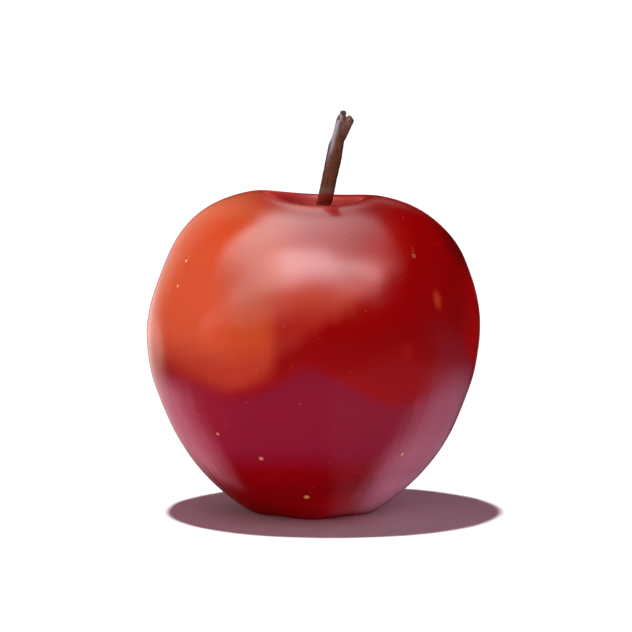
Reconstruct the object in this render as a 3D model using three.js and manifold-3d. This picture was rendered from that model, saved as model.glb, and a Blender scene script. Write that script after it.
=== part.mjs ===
// A red apple standing on the five feet round its eye: the fruit with its stem pit and eye basin, the forked
// stem, the dried calyx of five sepals, and the withered stamens inside it.
// Units are millimetres and +Z is up. The origin lies on the surface that the apple stands on, under the
// middle of its girth. The sun side, with the fuller cheek, is towards +X, and one foot points to -Y.
import * as THREE from "three";
import { mergeVertices } from "three/addons/utils/BufferGeometryUtils.js";
import Module from "manifold-3d";

const wasm = await Module();
wasm.setup();

// The fruit. OUTLINE is half of its section, as [radius, height] on the skin, from the floor of the stem pit
// over the crown and the girth to the floor of the eye basin. The spline through it crosses the axis squarely.
const OUTLINE = [
  [0, 60.2], [2.3, 60.6], [4.4, 64.2], [6.9, 69.3], [10.9, 72.9], // stem pit and the crest of the crown
  [17.0, 72.6], [24.1, 69.6], [30.5, 63.7], [35.0, 55.3], [37.6, 45.8], // shoulder, upper cheek and girth
  [37.5, 35.8], [35.0, 26.2], [30.7, 17.2], [24.9, 9.2], [18.2, 2.9], // lower cheek down to the base
  [12.5, -0.3], [8.6, 1.1], [5.4, 4.6], [2.6, 6.6], [0, 7.0], // foot ring and eye basin
];
const CREST = 4; // the place in OUTLINE of the crown's crest, with the pit above it
const FOOT = 15; // the place in OUTLINE of the foot ring, with the basin past it
const AROUND = 72; // facets round the fruit
const ALONG = 52; // facets along half of the section
const SPLINE_ROUNDS = 60; // corrections of the spline's control points

// The crown dips towards +X and across the middle, and leans a little towards +X.
const CROWN_DIP = 1.2;
const CROWN_SADDLE = 1.4;
const CROWN_LEAN = 0.9;
const CROWN_FROM = 50; // the dips begin at this height and are whole at the crest
const LEAN_FROM = 46;

// The feet: five low lobes, with valleys between them that run out up the lower cheek.
const LOBES = 5;
const VALLEY = 0.55; // depth of a valley in the foot ring
const VALLEY_TOP = 9; // height at which the ring no longer shows it
const WAIST = 0.012; // share of the radius that a valley draws in
const WAIST_TOP = 40;

// Swellings and flats that make each side its own: [azimuth in degrees, height, reach, rise of the skin].
const SWELLINGS = [
  [0, 58, 14, 0.6], // fuller upper cheek
  [180, 55, 12, -0.5],
  [180, 68, 11, 0.5], // high shoulder
  [75, 44, 20, -0.7], // flat back
  [125, 60, 15, 0.6],
  [250, 34, 18, 0.35],
  [285, 52, 14, -0.3],
  [330, 16, 14, -0.3],
  [350, 14, 12, 0.55],
  [180, 7, 9, 0.4],
];

// The stem. Its route is [x, y, z] from the root, sunk in the floor of the pit, to the tip of the main prong.
const GAP = 0.3; // between a piece and the socket that it stands in
const STEM_ROUTE = [
  [0.5, 0, 57.6], [0.8, 0, 62], [1.7, 0, 67.5], [3.1, 0.1, 73.8], [4.4, 0.2, 80.2],
  [5.6, 0.1, 84.8], [6.4, 0, 87.8], [6.8, -0.1, 90.9],
];
const STEM_RADII = [1.45, 1.5, 1.55, 1.62, 1.68, 1.5, 1.42, 1.32]; // one for each point of the route
const PRONG_ROUTE = [[5.1, 0, 82.6], [6.2, -0.1, 85.4], [7.5, -0.1, 87.8], [9.0, -0.1, 89.9]];
const PRONG_RADII = [0.9, 1.1, 0.98, 0.9];
const SCAR = { at: [7.25, -0.2, 90.75], radius: 0.85 }; // dark knob of pith where the prong broke off
const STEM_SIDES = 14;
const STEM_STEPS = 30;
const PRONG_STEPS = 12;
const BLUNT_END = 0.3; // share of its width that a round limb keeps at the very end of its dome

// The calyx: a disc sunk in the floor of the basin, with five sepals that hang from its rim.
const SEPALS = 5;
const CALYX_RADIUS = 2.3;
const CALYX_TOP = 8.3;
const CALYX_FACE = 6.1;
const CALYX_SIDES = 24;
const SEPAL_ROUTE = [[1.75, 6.6], [2.1, 5.2], [2.75, 3.9], [3.65, 2.9], [4.75, 2.5]]; // [radius, height]
const SEPAL_WIDTHS = [1.15, 1.3, 1.05, 0.65, 0.3]; // half widths
const SEPAL_THICKNESS = 0.34; // half of it
const SEPAL_SIDES = 8;
const SEPAL_STEPS = 12;

// The stamens: withered filaments on a pad that stands in a hole of the calyx.
const STAMENS = 15;
const PAD_RADIUS = 1.15;
const PAD_TOP = 7.0;
const PAD_FACE = 5.9;
const PAD_SIDES = 18;
const PAD_MARGIN = 0.1; // between the outermost roots and the pad's edge
const FILAMENT_LENGTH = 2.5; // of the middle ones
const FILAMENT_SHORTER = 0.3; // share of the length that the outermost ones lack
const FILAMENT_SPREAD = 0.3; // share by which a filament leans out at its tip
const FILAMENT_ROOT = 0.4; // depth of its root in the pad
const FILAMENT_RADIUS = 0.17;
const ANTHER_RADIUS = 0.29;
const FILAMENT_SIDES = 5;
const FILAMENT_STEPS = 5;
const FILAMENT_PLACES = [0, 0.35, 0.7, 1]; // shares of the length that its route goes through
const GOLDEN_TURN = Math.PI * (3 - Math.sqrt(5)); // angle from one stamen to the next

const WELD = 1e-4; // corners closer than this are one

// A geometry's faces as a solid that can be cut and joined.
function solidOf(geometry) {
  const bare = geometry.clone().deleteAttribute("normal").deleteAttribute("uv");
  const { index, attributes } = mergeVertices(bare, WELD);
  const mesh = new wasm.Mesh({
    numProp: 3,
    vertProperties: attributes.position.array,
    triVerts: new Uint32Array(index.array),
  });
  return new wasm.Manifold(mesh);
}

// A solid's faces as a geometry again, with flat facets.
function geometryOf(solid) {
  const mesh = solid.getMesh();
  const geometry = new THREE.BufferGeometry();
  geometry.setAttribute("position", new THREE.BufferAttribute(mesh.vertProperties, 3));
  geometry.setIndex(new THREE.BufferAttribute(mesh.triVerts, 1));
  const flat = geometry.toNonIndexed();
  flat.computeVertexNormals();
  return flat;
}

// The points of a smooth cubic B-spline through half a section. Its control points are pushed out until the
// curve passes through the points given, and mirrored across the axis, so that both poles are smooth.
function sectionThrough(points, steps) {
  const mirror = ([radius, height]) => [-radius, height];
  const framed = (row) => [mirror(row[1]), ...row, mirror(row.at(-2))];
  let controls = points.map((point) => [...point]);
  for (let round = 0; round < SPLINE_ROUNDS; round++) {
    const row = framed(controls);
    controls = controls.map((control, i) =>
      control.map((value, k) => value + points[i][k] - (row[i][k] + 4 * row[i + 1][k] + row[i + 2][k]) / 6),
    );
  }
  const row = framed(controls);
  return Array.from({ length: steps + 1 }, (_, step) => {
    const place = (step / steps) * (points.length - 1);
    const first = Math.min(Math.floor(place), points.length - 2);
    const u = place - first;
    const weights = [(1 - u) ** 3, 3 * u ** 3 - 6 * u ** 2 + 4, -3 * u ** 3 + 3 * u ** 2 + 3 * u + 1, u ** 3];
    const sum = (k) => weights.reduce((total, weight, j) => total + (weight * row[first + j][k]) / 6, 0);
    return new THREE.Vector2(step === 0 || step === steps ? 0 : sum(0), sum(1));
  });
}

// The radius of the fruit's outer wall at a height, from the outline's points between crest and foot.
function wallRadius(height) {
  for (let i = CREST; i < FOOT; i++) {
    const [outer, inner] = [OUTLINE[i], OUTLINE[i + 1]];
    if (height <= outer[1] && height >= inner[1]) {
      return THREE.MathUtils.mapLinear(height, outer[1], inner[1], outer[0], inner[0]);
    }
  }
  throw new Error(`the fruit has no wall at ${height} mm`);
}

// Turns a point of the plain round fruit into one of the grown fruit.
function grow(point) {
  const { x, y, z } = point;
  const azimuth = Math.atan2(y, x);
  const valley = (1 - Math.cos(LOBES * (azimuth + Math.PI / 2))) / 2;
  const crown = THREE.MathUtils.smoothstep(z, CROWN_FROM, OUTLINE[CREST][1]);
  const ring = 1 - THREE.MathUtils.smoothstep(z, 0, VALLEY_TOP);
  const waist = 1 - WAIST * valley * (1 - THREE.MathUtils.smoothstep(z, 0, WAIST_TOP));
  let stretch = waist;
  for (const [degrees, height, reach, rise] of SWELLINGS) {
    const radius = wallRadius(height);
    const turn = THREE.MathUtils.degToRad(degrees);
    const middle = new THREE.Vector3(radius * Math.cos(turn), radius * Math.sin(turn), height);
    stretch *= 1 + (rise / radius) * Math.exp(-(point.distanceTo(middle) ** 2) / reach ** 2);
  }
  const lean = CROWN_LEAN * THREE.MathUtils.smoothstep(z, LEAN_FROM, OUTLINE[CREST][1]);
  const dip = CROWN_DIP * ((1 + Math.cos(azimuth)) / 2) + CROWN_SADDLE * Math.sin(azimuth) ** 2;
  const height = z - crown * dip + ring * VALLEY * valley;
  return point.set(x * stretch + lean, y * stretch, Math.max(height, 0)); // the feet rest flat
}

// The fruit's skin as one closed surface.
function fruitForm() {
  const section = sectionThrough(OUTLINE, ALONG).reverse();
  const geometry = new THREE.LatheGeometry(section, AROUND).rotateX(Math.PI / 2);
  const position = geometry.getAttribute("position");
  const point = new THREE.Vector3();
  for (let i = 0; i < position.count; i++) {
    grow(point.fromBufferAttribute(position, i));
    position.setXYZ(i, point.x, point.y, point.z);
  }
  return geometry;
}

// A limb along a smooth route, closed at both ends: sections has [half width, half thickness] at each point
// of the route, across is the direction of the widths, and a round limb ends in a dome.
function limb({ route, sections, across, sides, steps, domed }) {
  const curve = new THREE.CatmullRomCurve3(route.map((point) => new THREE.Vector3(...point)));
  const place = (share, k) => {
    const at = share * (sections.length - 1);
    const first = Math.min(Math.floor(at), sections.length - 2);
    return THREE.MathUtils.lerp(sections[first][k], sections[first + 1][k], at - first);
  };
  const positions = [];
  const tip = 1 - sections.at(-1)[0] / curve.getLength(); // where the dome begins
  for (let step = 0; step <= steps; step++) {
    const share = step / steps;
    const past = domed ? Math.max(0, (share - tip) / (1 - tip)) : 0;
    const swell = Math.max(Math.sqrt(1 - past ** 2), BLUNT_END);
    const centre = curve.getPoint(share);
    const through = curve.getTangent(share).cross(across).normalize();
    for (let side = 0; side < sides; side++) {
      const turn = (side / sides) * 2 * Math.PI;
      const point = centre.clone();
      point.addScaledVector(across, Math.cos(turn) * place(share, 0) * swell);
      point.addScaledVector(through, Math.sin(turn) * place(share, 1) * swell);
      positions.push(...point);
    }
  }
  const faces = [];
  const corner = (step, side) => step * sides + (side % sides);
  for (let step = 0; step < steps; step++) {
    for (let side = 0; side < sides; side++) {
      const [a, b] = [corner(step, side), corner(step, side + 1)];
      const [c, d] = [corner(step + 1, side), corner(step + 1, side + 1)];
      faces.push(a, b, c, b, d, c);
    }
  }
  for (let side = 1; side < sides - 1; side++) {
    faces.push(corner(0, 0), corner(0, side + 1), corner(0, side));
    faces.push(corner(steps, 0), corner(steps, side), corner(steps, side + 1));
  }
  const geometry = new THREE.BufferGeometry();
  geometry.setAttribute("position", new THREE.Float32BufferAttribute(positions, 3));
  geometry.setIndex(faces);
  return solidOf(geometry);
}

// The stem with its prong and its scar. Grown by the gap, it is also what cuts its socket.
function stemSolid(gap) {
  const across = new THREE.Vector3(0, 1, 0);
  const round = (radii) => radii.map((radius) => [radius + gap, radius + gap]);
  const root = STEM_ROUTE[0];
  const main = limb({
    route: [[root[0], root[1], root[2] - gap], ...STEM_ROUTE.slice(1)],
    sections: round(STEM_RADII),
    across,
    sides: STEM_SIDES,
    steps: STEM_STEPS,
    domed: true,
  });
  const prong = limb({
    route: PRONG_ROUTE,
    sections: round(PRONG_RADII),
    across,
    sides: STEM_SIDES,
    steps: PRONG_STEPS,
    domed: true,
  });
  const scar = solidOf(new THREE.IcosahedronGeometry(SCAR.radius, 2).translate(...SCAR.at));
  return main.add(prong).add(scar);
}

// An upright round plug from one height to another.
function plug(radius, bottom, top, sides) {
  const cylinder = new THREE.CylinderGeometry(radius, radius, top - bottom, sides).rotateX(Math.PI / 2);
  return solidOf(cylinder.translate(0, 0, (top + bottom) / 2));
}

// The calyx: its disc with the hole for the stamens, and the sepals that curl away from its rim.
function calyxSolid() {
  let calyx = plug(CALYX_RADIUS, CALYX_FACE, CALYX_TOP, CALYX_SIDES);
  for (let i = 0; i < SEPALS; i++) {
    const turn = ((i + 0.5) / SEPALS) * 2 * Math.PI - Math.PI / 2;
    const [cos, sin] = [Math.cos(turn), Math.sin(turn)];
    const sepal = limb({
      route: SEPAL_ROUTE.map(([radius, height]) => [radius * cos, radius * sin, height]),
      sections: SEPAL_WIDTHS.map((width) => [width, SEPAL_THICKNESS]),
      across: new THREE.Vector3(-sin, cos, 0),
      sides: SEPAL_SIDES,
      steps: SEPAL_STEPS,
      domed: false,
    });
    calyx = calyx.add(sepal);
  }
  return calyx.subtract(plug(PAD_RADIUS + GAP, CALYX_FACE - 1, PAD_TOP + GAP, PAD_SIDES));
}

// The stamens: filaments with anthers, spread over their pad like seeds on a sunflower.
function stamenSolid() {
  let tuft = plug(PAD_RADIUS, PAD_FACE, PAD_TOP, PAD_SIDES);
  for (let i = 0; i < STAMENS; i++) {
    const share = Math.sqrt((i + 0.5) / STAMENS);
    const turn = i * GOLDEN_TURN;
    const root = share * (PAD_RADIUS - FILAMENT_RADIUS - PAD_MARGIN);
    const length = FILAMENT_LENGTH * (1 - FILAMENT_SHORTER * share);
    const route = FILAMENT_PLACES.map((along) => {
      const radius = root * (1 + FILAMENT_SPREAD * along);
      return [radius * Math.cos(turn), radius * Math.sin(turn), PAD_FACE + FILAMENT_ROOT - along * length];
    });
    const filament = limb({
      route,
      sections: [FILAMENT_RADIUS, FILAMENT_RADIUS, FILAMENT_RADIUS, ANTHER_RADIUS].map((r) => [r, r]),
      across: new THREE.Vector3(-Math.sin(turn), Math.cos(turn), 0),
      sides: FILAMENT_SIDES,
      steps: FILAMENT_STEPS,
      domed: false,
    });
    tuft = tuft.add(filament);
  }
  return tuft;
}

// A named piece with its own finish.
function piece(name, solid, color, roughness) {
  const finish = new THREE.MeshStandardMaterial({ color, roughness, metalness: 0 });
  const mesh = new THREE.Mesh(geometryOf(solid), finish);
  mesh.name = name;
  return mesh;
}

const form = fruitForm();
const fruit = solidOf(form)
  .subtract(stemSolid(GAP))
  .subtract(plug(CALYX_RADIUS + GAP, 0, CALYX_TOP + GAP, CALYX_SIDES));

const apple = new THREE.Group();
apple.name = "apple";
apple.add(
  piece("fruit", fruit, 0x8e1014, 0.35),
  piece("stem", stemSolid(0), 0x5b3420, 0.75),
  piece("calyx", calyxSolid(), 0x6a5a3c, 0.9),
  piece("stamens", stamenSolid(), 0x3a2a1c, 0.95),
);

// The pieces stand round the core's axis. The whole is moved so that the middle of the girth is over the origin.
form.computeBoundingBox();
const middle = form.boundingBox.getCenter(new THREE.Vector3());
apple.position.set(-middle.x, -middle.y, 0);

export default apple;
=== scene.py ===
import logging
import math
from collections.abc import Callable, Sequence
from dataclasses import dataclass
from enum import Enum

import bpy
from mathutils import Matrix, Vector


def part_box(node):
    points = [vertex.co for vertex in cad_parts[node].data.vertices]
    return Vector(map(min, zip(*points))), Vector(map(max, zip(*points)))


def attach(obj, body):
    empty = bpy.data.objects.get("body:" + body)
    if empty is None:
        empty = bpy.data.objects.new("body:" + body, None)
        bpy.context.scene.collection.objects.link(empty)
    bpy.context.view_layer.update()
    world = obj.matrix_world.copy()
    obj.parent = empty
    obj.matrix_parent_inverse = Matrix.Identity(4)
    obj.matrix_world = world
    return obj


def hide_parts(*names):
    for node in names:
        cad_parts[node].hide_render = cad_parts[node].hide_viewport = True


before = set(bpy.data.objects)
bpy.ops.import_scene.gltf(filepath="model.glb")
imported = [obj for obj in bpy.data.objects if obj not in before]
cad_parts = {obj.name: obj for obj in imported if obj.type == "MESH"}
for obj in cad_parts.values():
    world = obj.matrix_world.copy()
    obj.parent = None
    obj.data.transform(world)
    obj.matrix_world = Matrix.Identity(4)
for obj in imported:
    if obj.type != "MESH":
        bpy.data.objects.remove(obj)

# A ripe apple on a pale floor. Sizes are in millimetres round the core's axis, as a grower would
# measure them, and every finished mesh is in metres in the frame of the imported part.
MM = 0.001
FULL_TURN = 2 * math.pi
GOLDEN_TURN = math.pi * (3 - math.sqrt(5))
SEAM_GAP = 0.002  # points closer than this are joined where a rolled sheet closes

log = logging.getLogger("apple")
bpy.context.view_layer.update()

Colour = tuple[float, float, float, float]
Place = tuple[float, float, float]


class Kind(Enum):
    """What a named input of a growth tree holds."""

    SHAPE = "NodeSocketGeometry"
    SIZE = "NodeSocketFloat"
    COUNT = "NodeSocketInt"
    FINISH = "NodeSocketMaterial"
    OBJECT = "NodeSocketObject"


def screen(red: int, green: int, blue: int) -> Colour:
    """Turns a colour as a screen shows it into the linear one that a shader takes.

    Args:
        red, green, blue: The three parts, from 0 to 255.

    Returns:
        The linear colour, with an alpha of 1.
    """
    parts = [part / 255 for part in (red, green, blue)]
    linear = [part / 12.92 if part <= 0.04045 else ((part + 0.055) / 1.055) ** 2.4 for part in parts]
    return (*linear, 1.0)


class Term:
    """A socket that holds a number and stands in an expression, where each operation adds a Math node."""

    def __init__(self, graph: "Graph", socket: bpy.types.NodeSocket) -> None:
        """Wraps a socket of the graph."""
        self.graph = graph
        self.socket = socket

    def apply(self, operation: str, *values: "Operand") -> "Term":
        """Adds a Math node.

        Args:
            operation: The node's operation.
            values: What goes into its sockets, in order.

        Returns:
            The node's result.
        """
        node = self.graph.node("ShaderNodeMath", {"operation": operation}, dict(enumerate(values)))
        return Term(self.graph, node.outputs[0])

    def __add__(self, other: "Operand") -> "Term":
        """Adds."""
        return self.apply("ADD", self, other)

    def __radd__(self, other: "Operand") -> "Term":
        """Adds, from the right."""
        return self.apply("ADD", other, self)

    def __sub__(self, other: "Operand") -> "Term":
        """Takes away."""
        return self.apply("SUBTRACT", self, other)

    def __rsub__(self, other: "Operand") -> "Term":
        """Is taken away from a number."""
        return self.apply("SUBTRACT", other, self)

    def __mul__(self, other: "Operand") -> "Term":
        """Multiplies."""
        return self.apply("MULTIPLY", self, other)

    def __rmul__(self, other: "Operand") -> "Term":
        """Multiplies, from the right."""
        return self.apply("MULTIPLY", other, self)

    def __truediv__(self, other: "Operand") -> "Term":
        """Divides."""
        return self.apply("DIVIDE", self, other)

    def __rtruediv__(self, other: "Operand") -> "Term":
        """Divides a number."""
        return self.apply("DIVIDE", other, self)

    def __pow__(self, other: "Operand") -> "Term":
        """Raises to a power."""
        return self.apply("POWER", self, other)

    def __abs__(self) -> "Term":
        """Drops the sign."""
        return self.apply("ABSOLUTE", self)

    def smooth(self, low: "Operand", high: "Operand") -> "Term":
        """Rises softly from 0 at one value to 1 at another.

        Args:
            low: Where the rise begins.
            high: Where it ends, which may be the smaller one for a fall.

        Returns:
            The share, from 0 to 1.
        """
        settings = {"interpolation_type": "SMOOTHSTEP"}
        sockets = {"Value": self, "From Min": low, "From Max": high}
        return Term(self.graph, self.graph.node("ShaderNodeMapRange", settings, sockets).outputs[0])

    def hump(self, middle: float, reach: float) -> "Term":
        """Is 1 at a middle value and falls off like a bell on both sides."""
        away = (self - middle) / reach
        return self.apply("EXPONENT", away * away * -1)

    def least(self, other: "Operand") -> "Term":
        """Is the smaller of two."""
        return self.apply("MINIMUM", self, other)

    def most(self, other: "Operand") -> "Term":
        """Is the larger of two."""
        return self.apply("MAXIMUM", self, other)

    def cos(self) -> "Term":
        """Is the cosine of an angle in radians."""
        return self.apply("COSINE", self)

    def sin(self) -> "Term":
        """Is the sine of an angle in radians."""
        return self.apply("SINE", self)

    def below(self, other: "Operand") -> "Term":
        """Is 1 where this is the smaller one, and 0 elsewhere."""
        return self.apply("LESS_THAN", self, other)


Operand = Term | float | bpy.types.NodeSocket


class Graph:
    """A node tree that is being built."""

    def __init__(self, tree: bpy.types.NodeTree) -> None:
        """Takes an empty tree."""
        self.tree = tree

    def feed(self, socket: bpy.types.NodeSocket, value: object) -> None:
        """Links a socket to what it takes, or sets its value.

        Args:
            socket: The socket to feed.
            value: A term, a socket, a node whose first live output is meant, or a plain value.
        """
        if isinstance(value, bpy.types.Node):
            value = self.out(value)
        if isinstance(value, Term):
            value = value.socket
        if isinstance(value, bpy.types.NodeSocket):
            self.tree.links.new(value, socket)
        else:
            socket.default_value = value

    def node(
        self,
        kind: str,
        settings: dict[str, object] | None = None,
        sockets: dict[int | str, object] | None = None,
    ) -> bpy.types.Node:
        """Adds a node.

        Args:
            kind: The node's type.
            settings: Its own settings, which are set first.
            sockets: Values or links of its sockets, by name or place.

        Returns:
            The node.
        """
        made = self.tree.nodes.new(kind)
        for name, value in (settings or {}).items():
            setattr(made, name, value)
        for key, value in (sockets or {}).items():
            live = (socket for socket in made.inputs if socket.name == key and socket.enabled)
            self.feed(made.inputs[key] if isinstance(key, int) else next(live), value)
        return made

    @staticmethod
    def out(node: bpy.types.Node, name: str | None = None) -> bpy.types.NodeSocket:
        """Finds a node's first live output, or the live one of a name."""
        return next(socket for socket in node.outputs if socket.enabled and name in (None, socket.name))

    def term(self, node: bpy.types.Node, name: str | None = None) -> Term:
        """Wraps a node's output as a number."""
        return Term(self, self.out(node, name))

    def vector(self, operation: str, *values: object) -> bpy.types.NodeSocket:
        """Adds a Vector Math node whose result is a vector."""
        node = self.node("ShaderNodeVectorMath", {"operation": operation}, dict(enumerate(values)))
        return node.outputs["Vector"]

    def scaled(self, vector: object, factor: Operand) -> bpy.types.NodeSocket:
        """Multiplies a vector by a number."""
        sockets = {0: vector, "Scale": factor}
        return self.out(self.node("ShaderNodeVectorMath", {"operation": "SCALE"}, sockets))

    def measure(self, operation: str, *values: object) -> Term:
        """Adds a Vector Math node whose result is a number, such as a length or a distance."""
        node = self.node("ShaderNodeVectorMath", {"operation": operation}, dict(enumerate(values)))
        return Term(self, node.outputs["Value"])

    def parts(self, vector: object) -> tuple[Term, Term, Term]:
        """Takes a vector apart."""
        node = self.node("ShaderNodeSeparateXYZ", sockets={0: vector})
        return tuple(Term(self, output) for output in node.outputs)

    def point(self, x: Operand, y: Operand, z: Operand) -> bpy.types.NodeSocket:
        """Puts a vector together."""
        return self.out(self.node("ShaderNodeCombineXYZ", sockets={0: x, 1: y, 2: z}))

    def noise(self, vector: object, scale: float, detail: float = 2.0, roughness: float = 0.5) -> Term:
        """Adds a cloudy noise.

        Args:
            vector: Where it is read.
            scale: Clouds in a unit of the vector.
            detail: Octaves of finer clouds.
            roughness: How strong the finer ones are.

        Returns:
            The noise, mostly from 0.3 to 0.7.
        """
        sockets = {"Vector": vector, "Scale": scale, "Detail": detail, "Roughness": roughness}
        return self.term(self.node("ShaderNodeTexNoise", {"noise_dimensions": "3D"}, sockets))

    def mix(self, share: Operand, low: object, high: object) -> bpy.types.NodeSocket:
        """Mixes two colours.

        Args:
            share: 0 for the first colour and 1 for the second.
            low: The first colour.
            high: The second colour.

        Returns:
            The mixed colour.
        """
        sockets = {"Factor": share, "A": low, "B": high}
        return self.out(self.node("ShaderNodeMix", {"data_type": "RGBA"}, sockets))

    def attribute(self, name: str) -> bpy.types.Node:
        """Reads an attribute of the mesh."""
        return self.node("ShaderNodeAttribute", {"attribute_name": name})

    def place(self) -> bpy.types.NodeSocket:
        """Reads the place on the piece, in millimetres."""
        return self.scaled(self.out(self.node("ShaderNodeTexCoord"), "Object"), 1 / MM)


class Growth(Graph):
    """A Geometry Nodes tree with named inputs, run once on a host mesh to make a plain one."""

    def __init__(self, name: str) -> None:
        """Starts a tree with the host's shape as its first input.

        Args:
            name: The tree's name.
        """
        super().__init__(bpy.data.node_groups.new(name, "GeometryNodeTree"))
        self.tree.interface.new_socket("Shape", in_out="OUTPUT", socket_type=Kind.SHAPE.value)
        self.source = self.tree.nodes.new("NodeGroupInput")
        self.values: dict[str, object] = {}
        self.helpers: list[bpy.types.Object] = []
        self.host = self.ask("Host", Kind.SHAPE, None)

    def ask(self, name: str, kind: Kind, value: object) -> bpy.types.NodeSocket:
        """Adds a named input.

        Args:
            name: The input's name.
            kind: What it holds.
            value: Its value, or None for the host's shape.

        Returns:
            The socket that gives the input inside the tree.
        """
        made = self.tree.interface.new_socket(name, in_out="INPUT", socket_type=kind.value)
        if value is not None:
            self.values[made.identifier] = value
        return next(socket for socket in self.source.outputs if socket.identifier == made.identifier)

    def second(self, name: str, mesh: bpy.types.Mesh) -> bpy.types.NodeSocket:
        """Brings a second mesh into the tree, on a helper object that lasts until the tree has run.

        Args:
            name: The name of the input and of the helper.
            mesh: The mesh.

        Returns:
            The socket that gives the mesh.
        """
        helper = bpy.data.objects.new(name, mesh)
        bpy.context.scene.collection.objects.link(helper)
        self.helpers.append(helper)
        sockets = {"Object": self.ask(name, Kind.OBJECT, helper)}
        return self.out(self.node("GeometryNodeObjectInfo", sockets=sockets), "Geometry")

    def size(self, name: str, value: float) -> Term:
        """Adds a named size and gives it as a number."""
        return Term(self, self.ask(name, Kind.SIZE, value))

    def store(self, shape: object, name: str, value: object, data_type: str = "FLOAT") -> bpy.types.Node:
        """Stores a value at every point of a shape under a name.

        Args:
            shape: The shape.
            name: The value's name.
            value: The value, which may differ from point to point.
            data_type: What it is, a number unless this says otherwise.

        Returns:
            The node that gives the shape with its value.
        """
        settings = {"data_type": data_type, "domain": "POINT"}
        sockets = {"Geometry": shape, "Name": name, "Value": value}
        return self.node("GeometryNodeStoreNamedAttribute", settings, sockets)

    def named(self, name: str, data_type: str = "FLOAT") -> bpy.types.NodeSocket:
        """Reads a value that was stored under a name."""
        node = self.node("GeometryNodeInputNamedAttribute", {"data_type": data_type}, {"Name": name})
        return self.out(node)

    def position(self) -> bpy.types.NodeSocket:
        """Reads where each point is."""
        return self.out(self.node("GeometryNodeInputPosition"))

    def normal(self) -> bpy.types.NodeSocket:
        """Reads which way the surface faces."""
        return self.out(self.node("GeometryNodeInputNormal"))

    def index(self) -> Term:
        """Reads the number of each point."""
        return self.term(self.node("GeometryNodeInputIndex"))

    def moved(self, shape: object, place: object) -> bpy.types.Node:
        """Moves every point of a shape to a new place."""
        return self.node("GeometryNodeSetPosition", sockets={"Geometry": shape, "Position": place})

    def curved(self, lines: object) -> bpy.types.Node:
        """Makes smooth curves through the points of lines."""
        curve = self.node("GeometryNodeMeshToCurve", sockets={"Mesh": lines})
        return self.node("GeometryNodeCurveSplineType", {"spline_type": "CATMULL_ROM"}, {"Curve": curve})

    def limbs(self, lines: object, sides: int) -> bpy.types.Node:
        """Makes a closed round limb along each line, as thick as its stored width.

        Args:
            lines: The lines, as a mesh.
            sides: The sides of a limb.

        Returns:
            The node that gives the limbs.
        """
        sockets = {"Geometry": self.curved(lines), "Resolution": 8}
        fine = self.node("GeometryNodeSetSplineResolution", sockets=sockets)
        sockets = {"Resolution": sides, "Radius": 1.0}
        ring = self.node("GeometryNodeCurvePrimitiveCircle", {"mode": "RADIUS"}, sockets)
        sockets = {"Curve": fine, "Profile Curve": ring, "Scale": self.named("width"), "Fill Caps": True}
        return self.node("GeometryNodeCurveToMesh", sockets=sockets)

    def fused(self, shape: object, voxel: Operand, rounds: int) -> bpy.types.Node:
        """Melts overlapping closed shapes into one skin and softens it.

        Args:
            shape: The shapes.
            voxel: The size of the grid that they are melted in.
            rounds: How often the skin is softened.

        Returns:
            The node that gives the skin.
        """
        grid = self.node("GeometryNodeMeshToSDFGrid", sockets={"Mesh": shape, "Voxel Size": voxel})
        skin = self.node("GeometryNodeGridToMesh", sockets={"Grid": grid, "Threshold": 0.0})
        sockets = {"Value": self.position(), "Iterations": rounds}
        soft = self.node("GeometryNodeBlurAttribute", {"data_type": "FLOAT_VECTOR"}, sockets)
        return self.moved(skin, soft)

    def sheet(self, around: int, along: int) -> tuple[bpy.types.NodeSocket, Term, Term]:
        """Makes a flat sheet that is to be rolled into a closed shape.

        Args:
            around: Faces round the shape.
            along: Faces along it.

        Returns:
            The sheet, the angle round the shape in radians, and the share along it.
        """
        sockets = {"Size X": 1.0, "Size Y": 1.0, "Vertices X": around + 1, "Vertices Y": along + 1}
        grid = self.node("GeometryNodeMeshGrid", sockets=sockets)
        x, y, _ = self.parts(self.position())
        return self.out(grid), (x + 0.5) * FULL_TURN, y + 0.5

    def on_line(self, line: object, share: Operand, number: int = 0) -> bpy.types.Node:
        """Reads a place on one of the host's lines, with the line's width there as its value."""
        sockets = {"Curves": line, "Value": self.named("width"), "Factor": share, "Curve Index": number}
        return self.node("GeometryNodeSampleCurve", {"mode": "FACTOR", "data_type": "FLOAT"}, sockets)

    def smoothed(self, shape: object) -> bpy.types.Node:
        """Shades a shape smooth."""
        return self.node("GeometryNodeSetShadeSmooth", sockets={"Geometry": shape})

    def closed(self, shape: object) -> bpy.types.Node:
        """Joins the seam and the poles of a rolled sheet and shades it smooth."""
        sockets = {"Geometry": shape, "Distance": SEAM_GAP}
        return self.smoothed(self.node("GeometryNodeMergeByDistance", sockets=sockets))

    def rotation(self, angles: object) -> bpy.types.Node:
        """Makes a rotation of three angles in radians."""
        return self.node("FunctionNodeEulerToRotation", sockets={0: angles})

    def planted(
        self, points: object, shape: object, rotation: object, scale: object = (1.0, 1.0, 1.0)
    ) -> bpy.types.Node:
        """Sets a copy of a shape on every point.

        Args:
            points: The points.
            shape: The shape.
            rotation: How each copy is turned.
            scale: How each copy is stretched.

        Returns:
            The node that gives the copies, still as instances.
        """
        sockets = {"Points": points, "Instance": shape, "Rotation": rotation, "Scale": scale}
        return self.node("GeometryNodeInstanceOnPoints", sockets=sockets)

    def reader(self, shape: object) -> Callable[..., bpy.types.NodeSocket]:
        """Gives a way to read values of another shape's nearest point.

        Args:
            shape: The other shape.

        Returns:
            A function that takes a value and its data type, and gives it as it is at the nearest point.
        """
        nearest = self.node("GeometryNodeSampleNearest", sockets={"Geometry": shape})

        def read(value: object, data_type: str = "FLOAT") -> bpy.types.NodeSocket:
            """Reads a value of the nearest point."""
            sockets = {"Geometry": shape, "Value": value, "Index": nearest}
            return self.out(self.node("GeometryNodeSampleIndex", {"data_type": data_type}, sockets))

        return read

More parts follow.
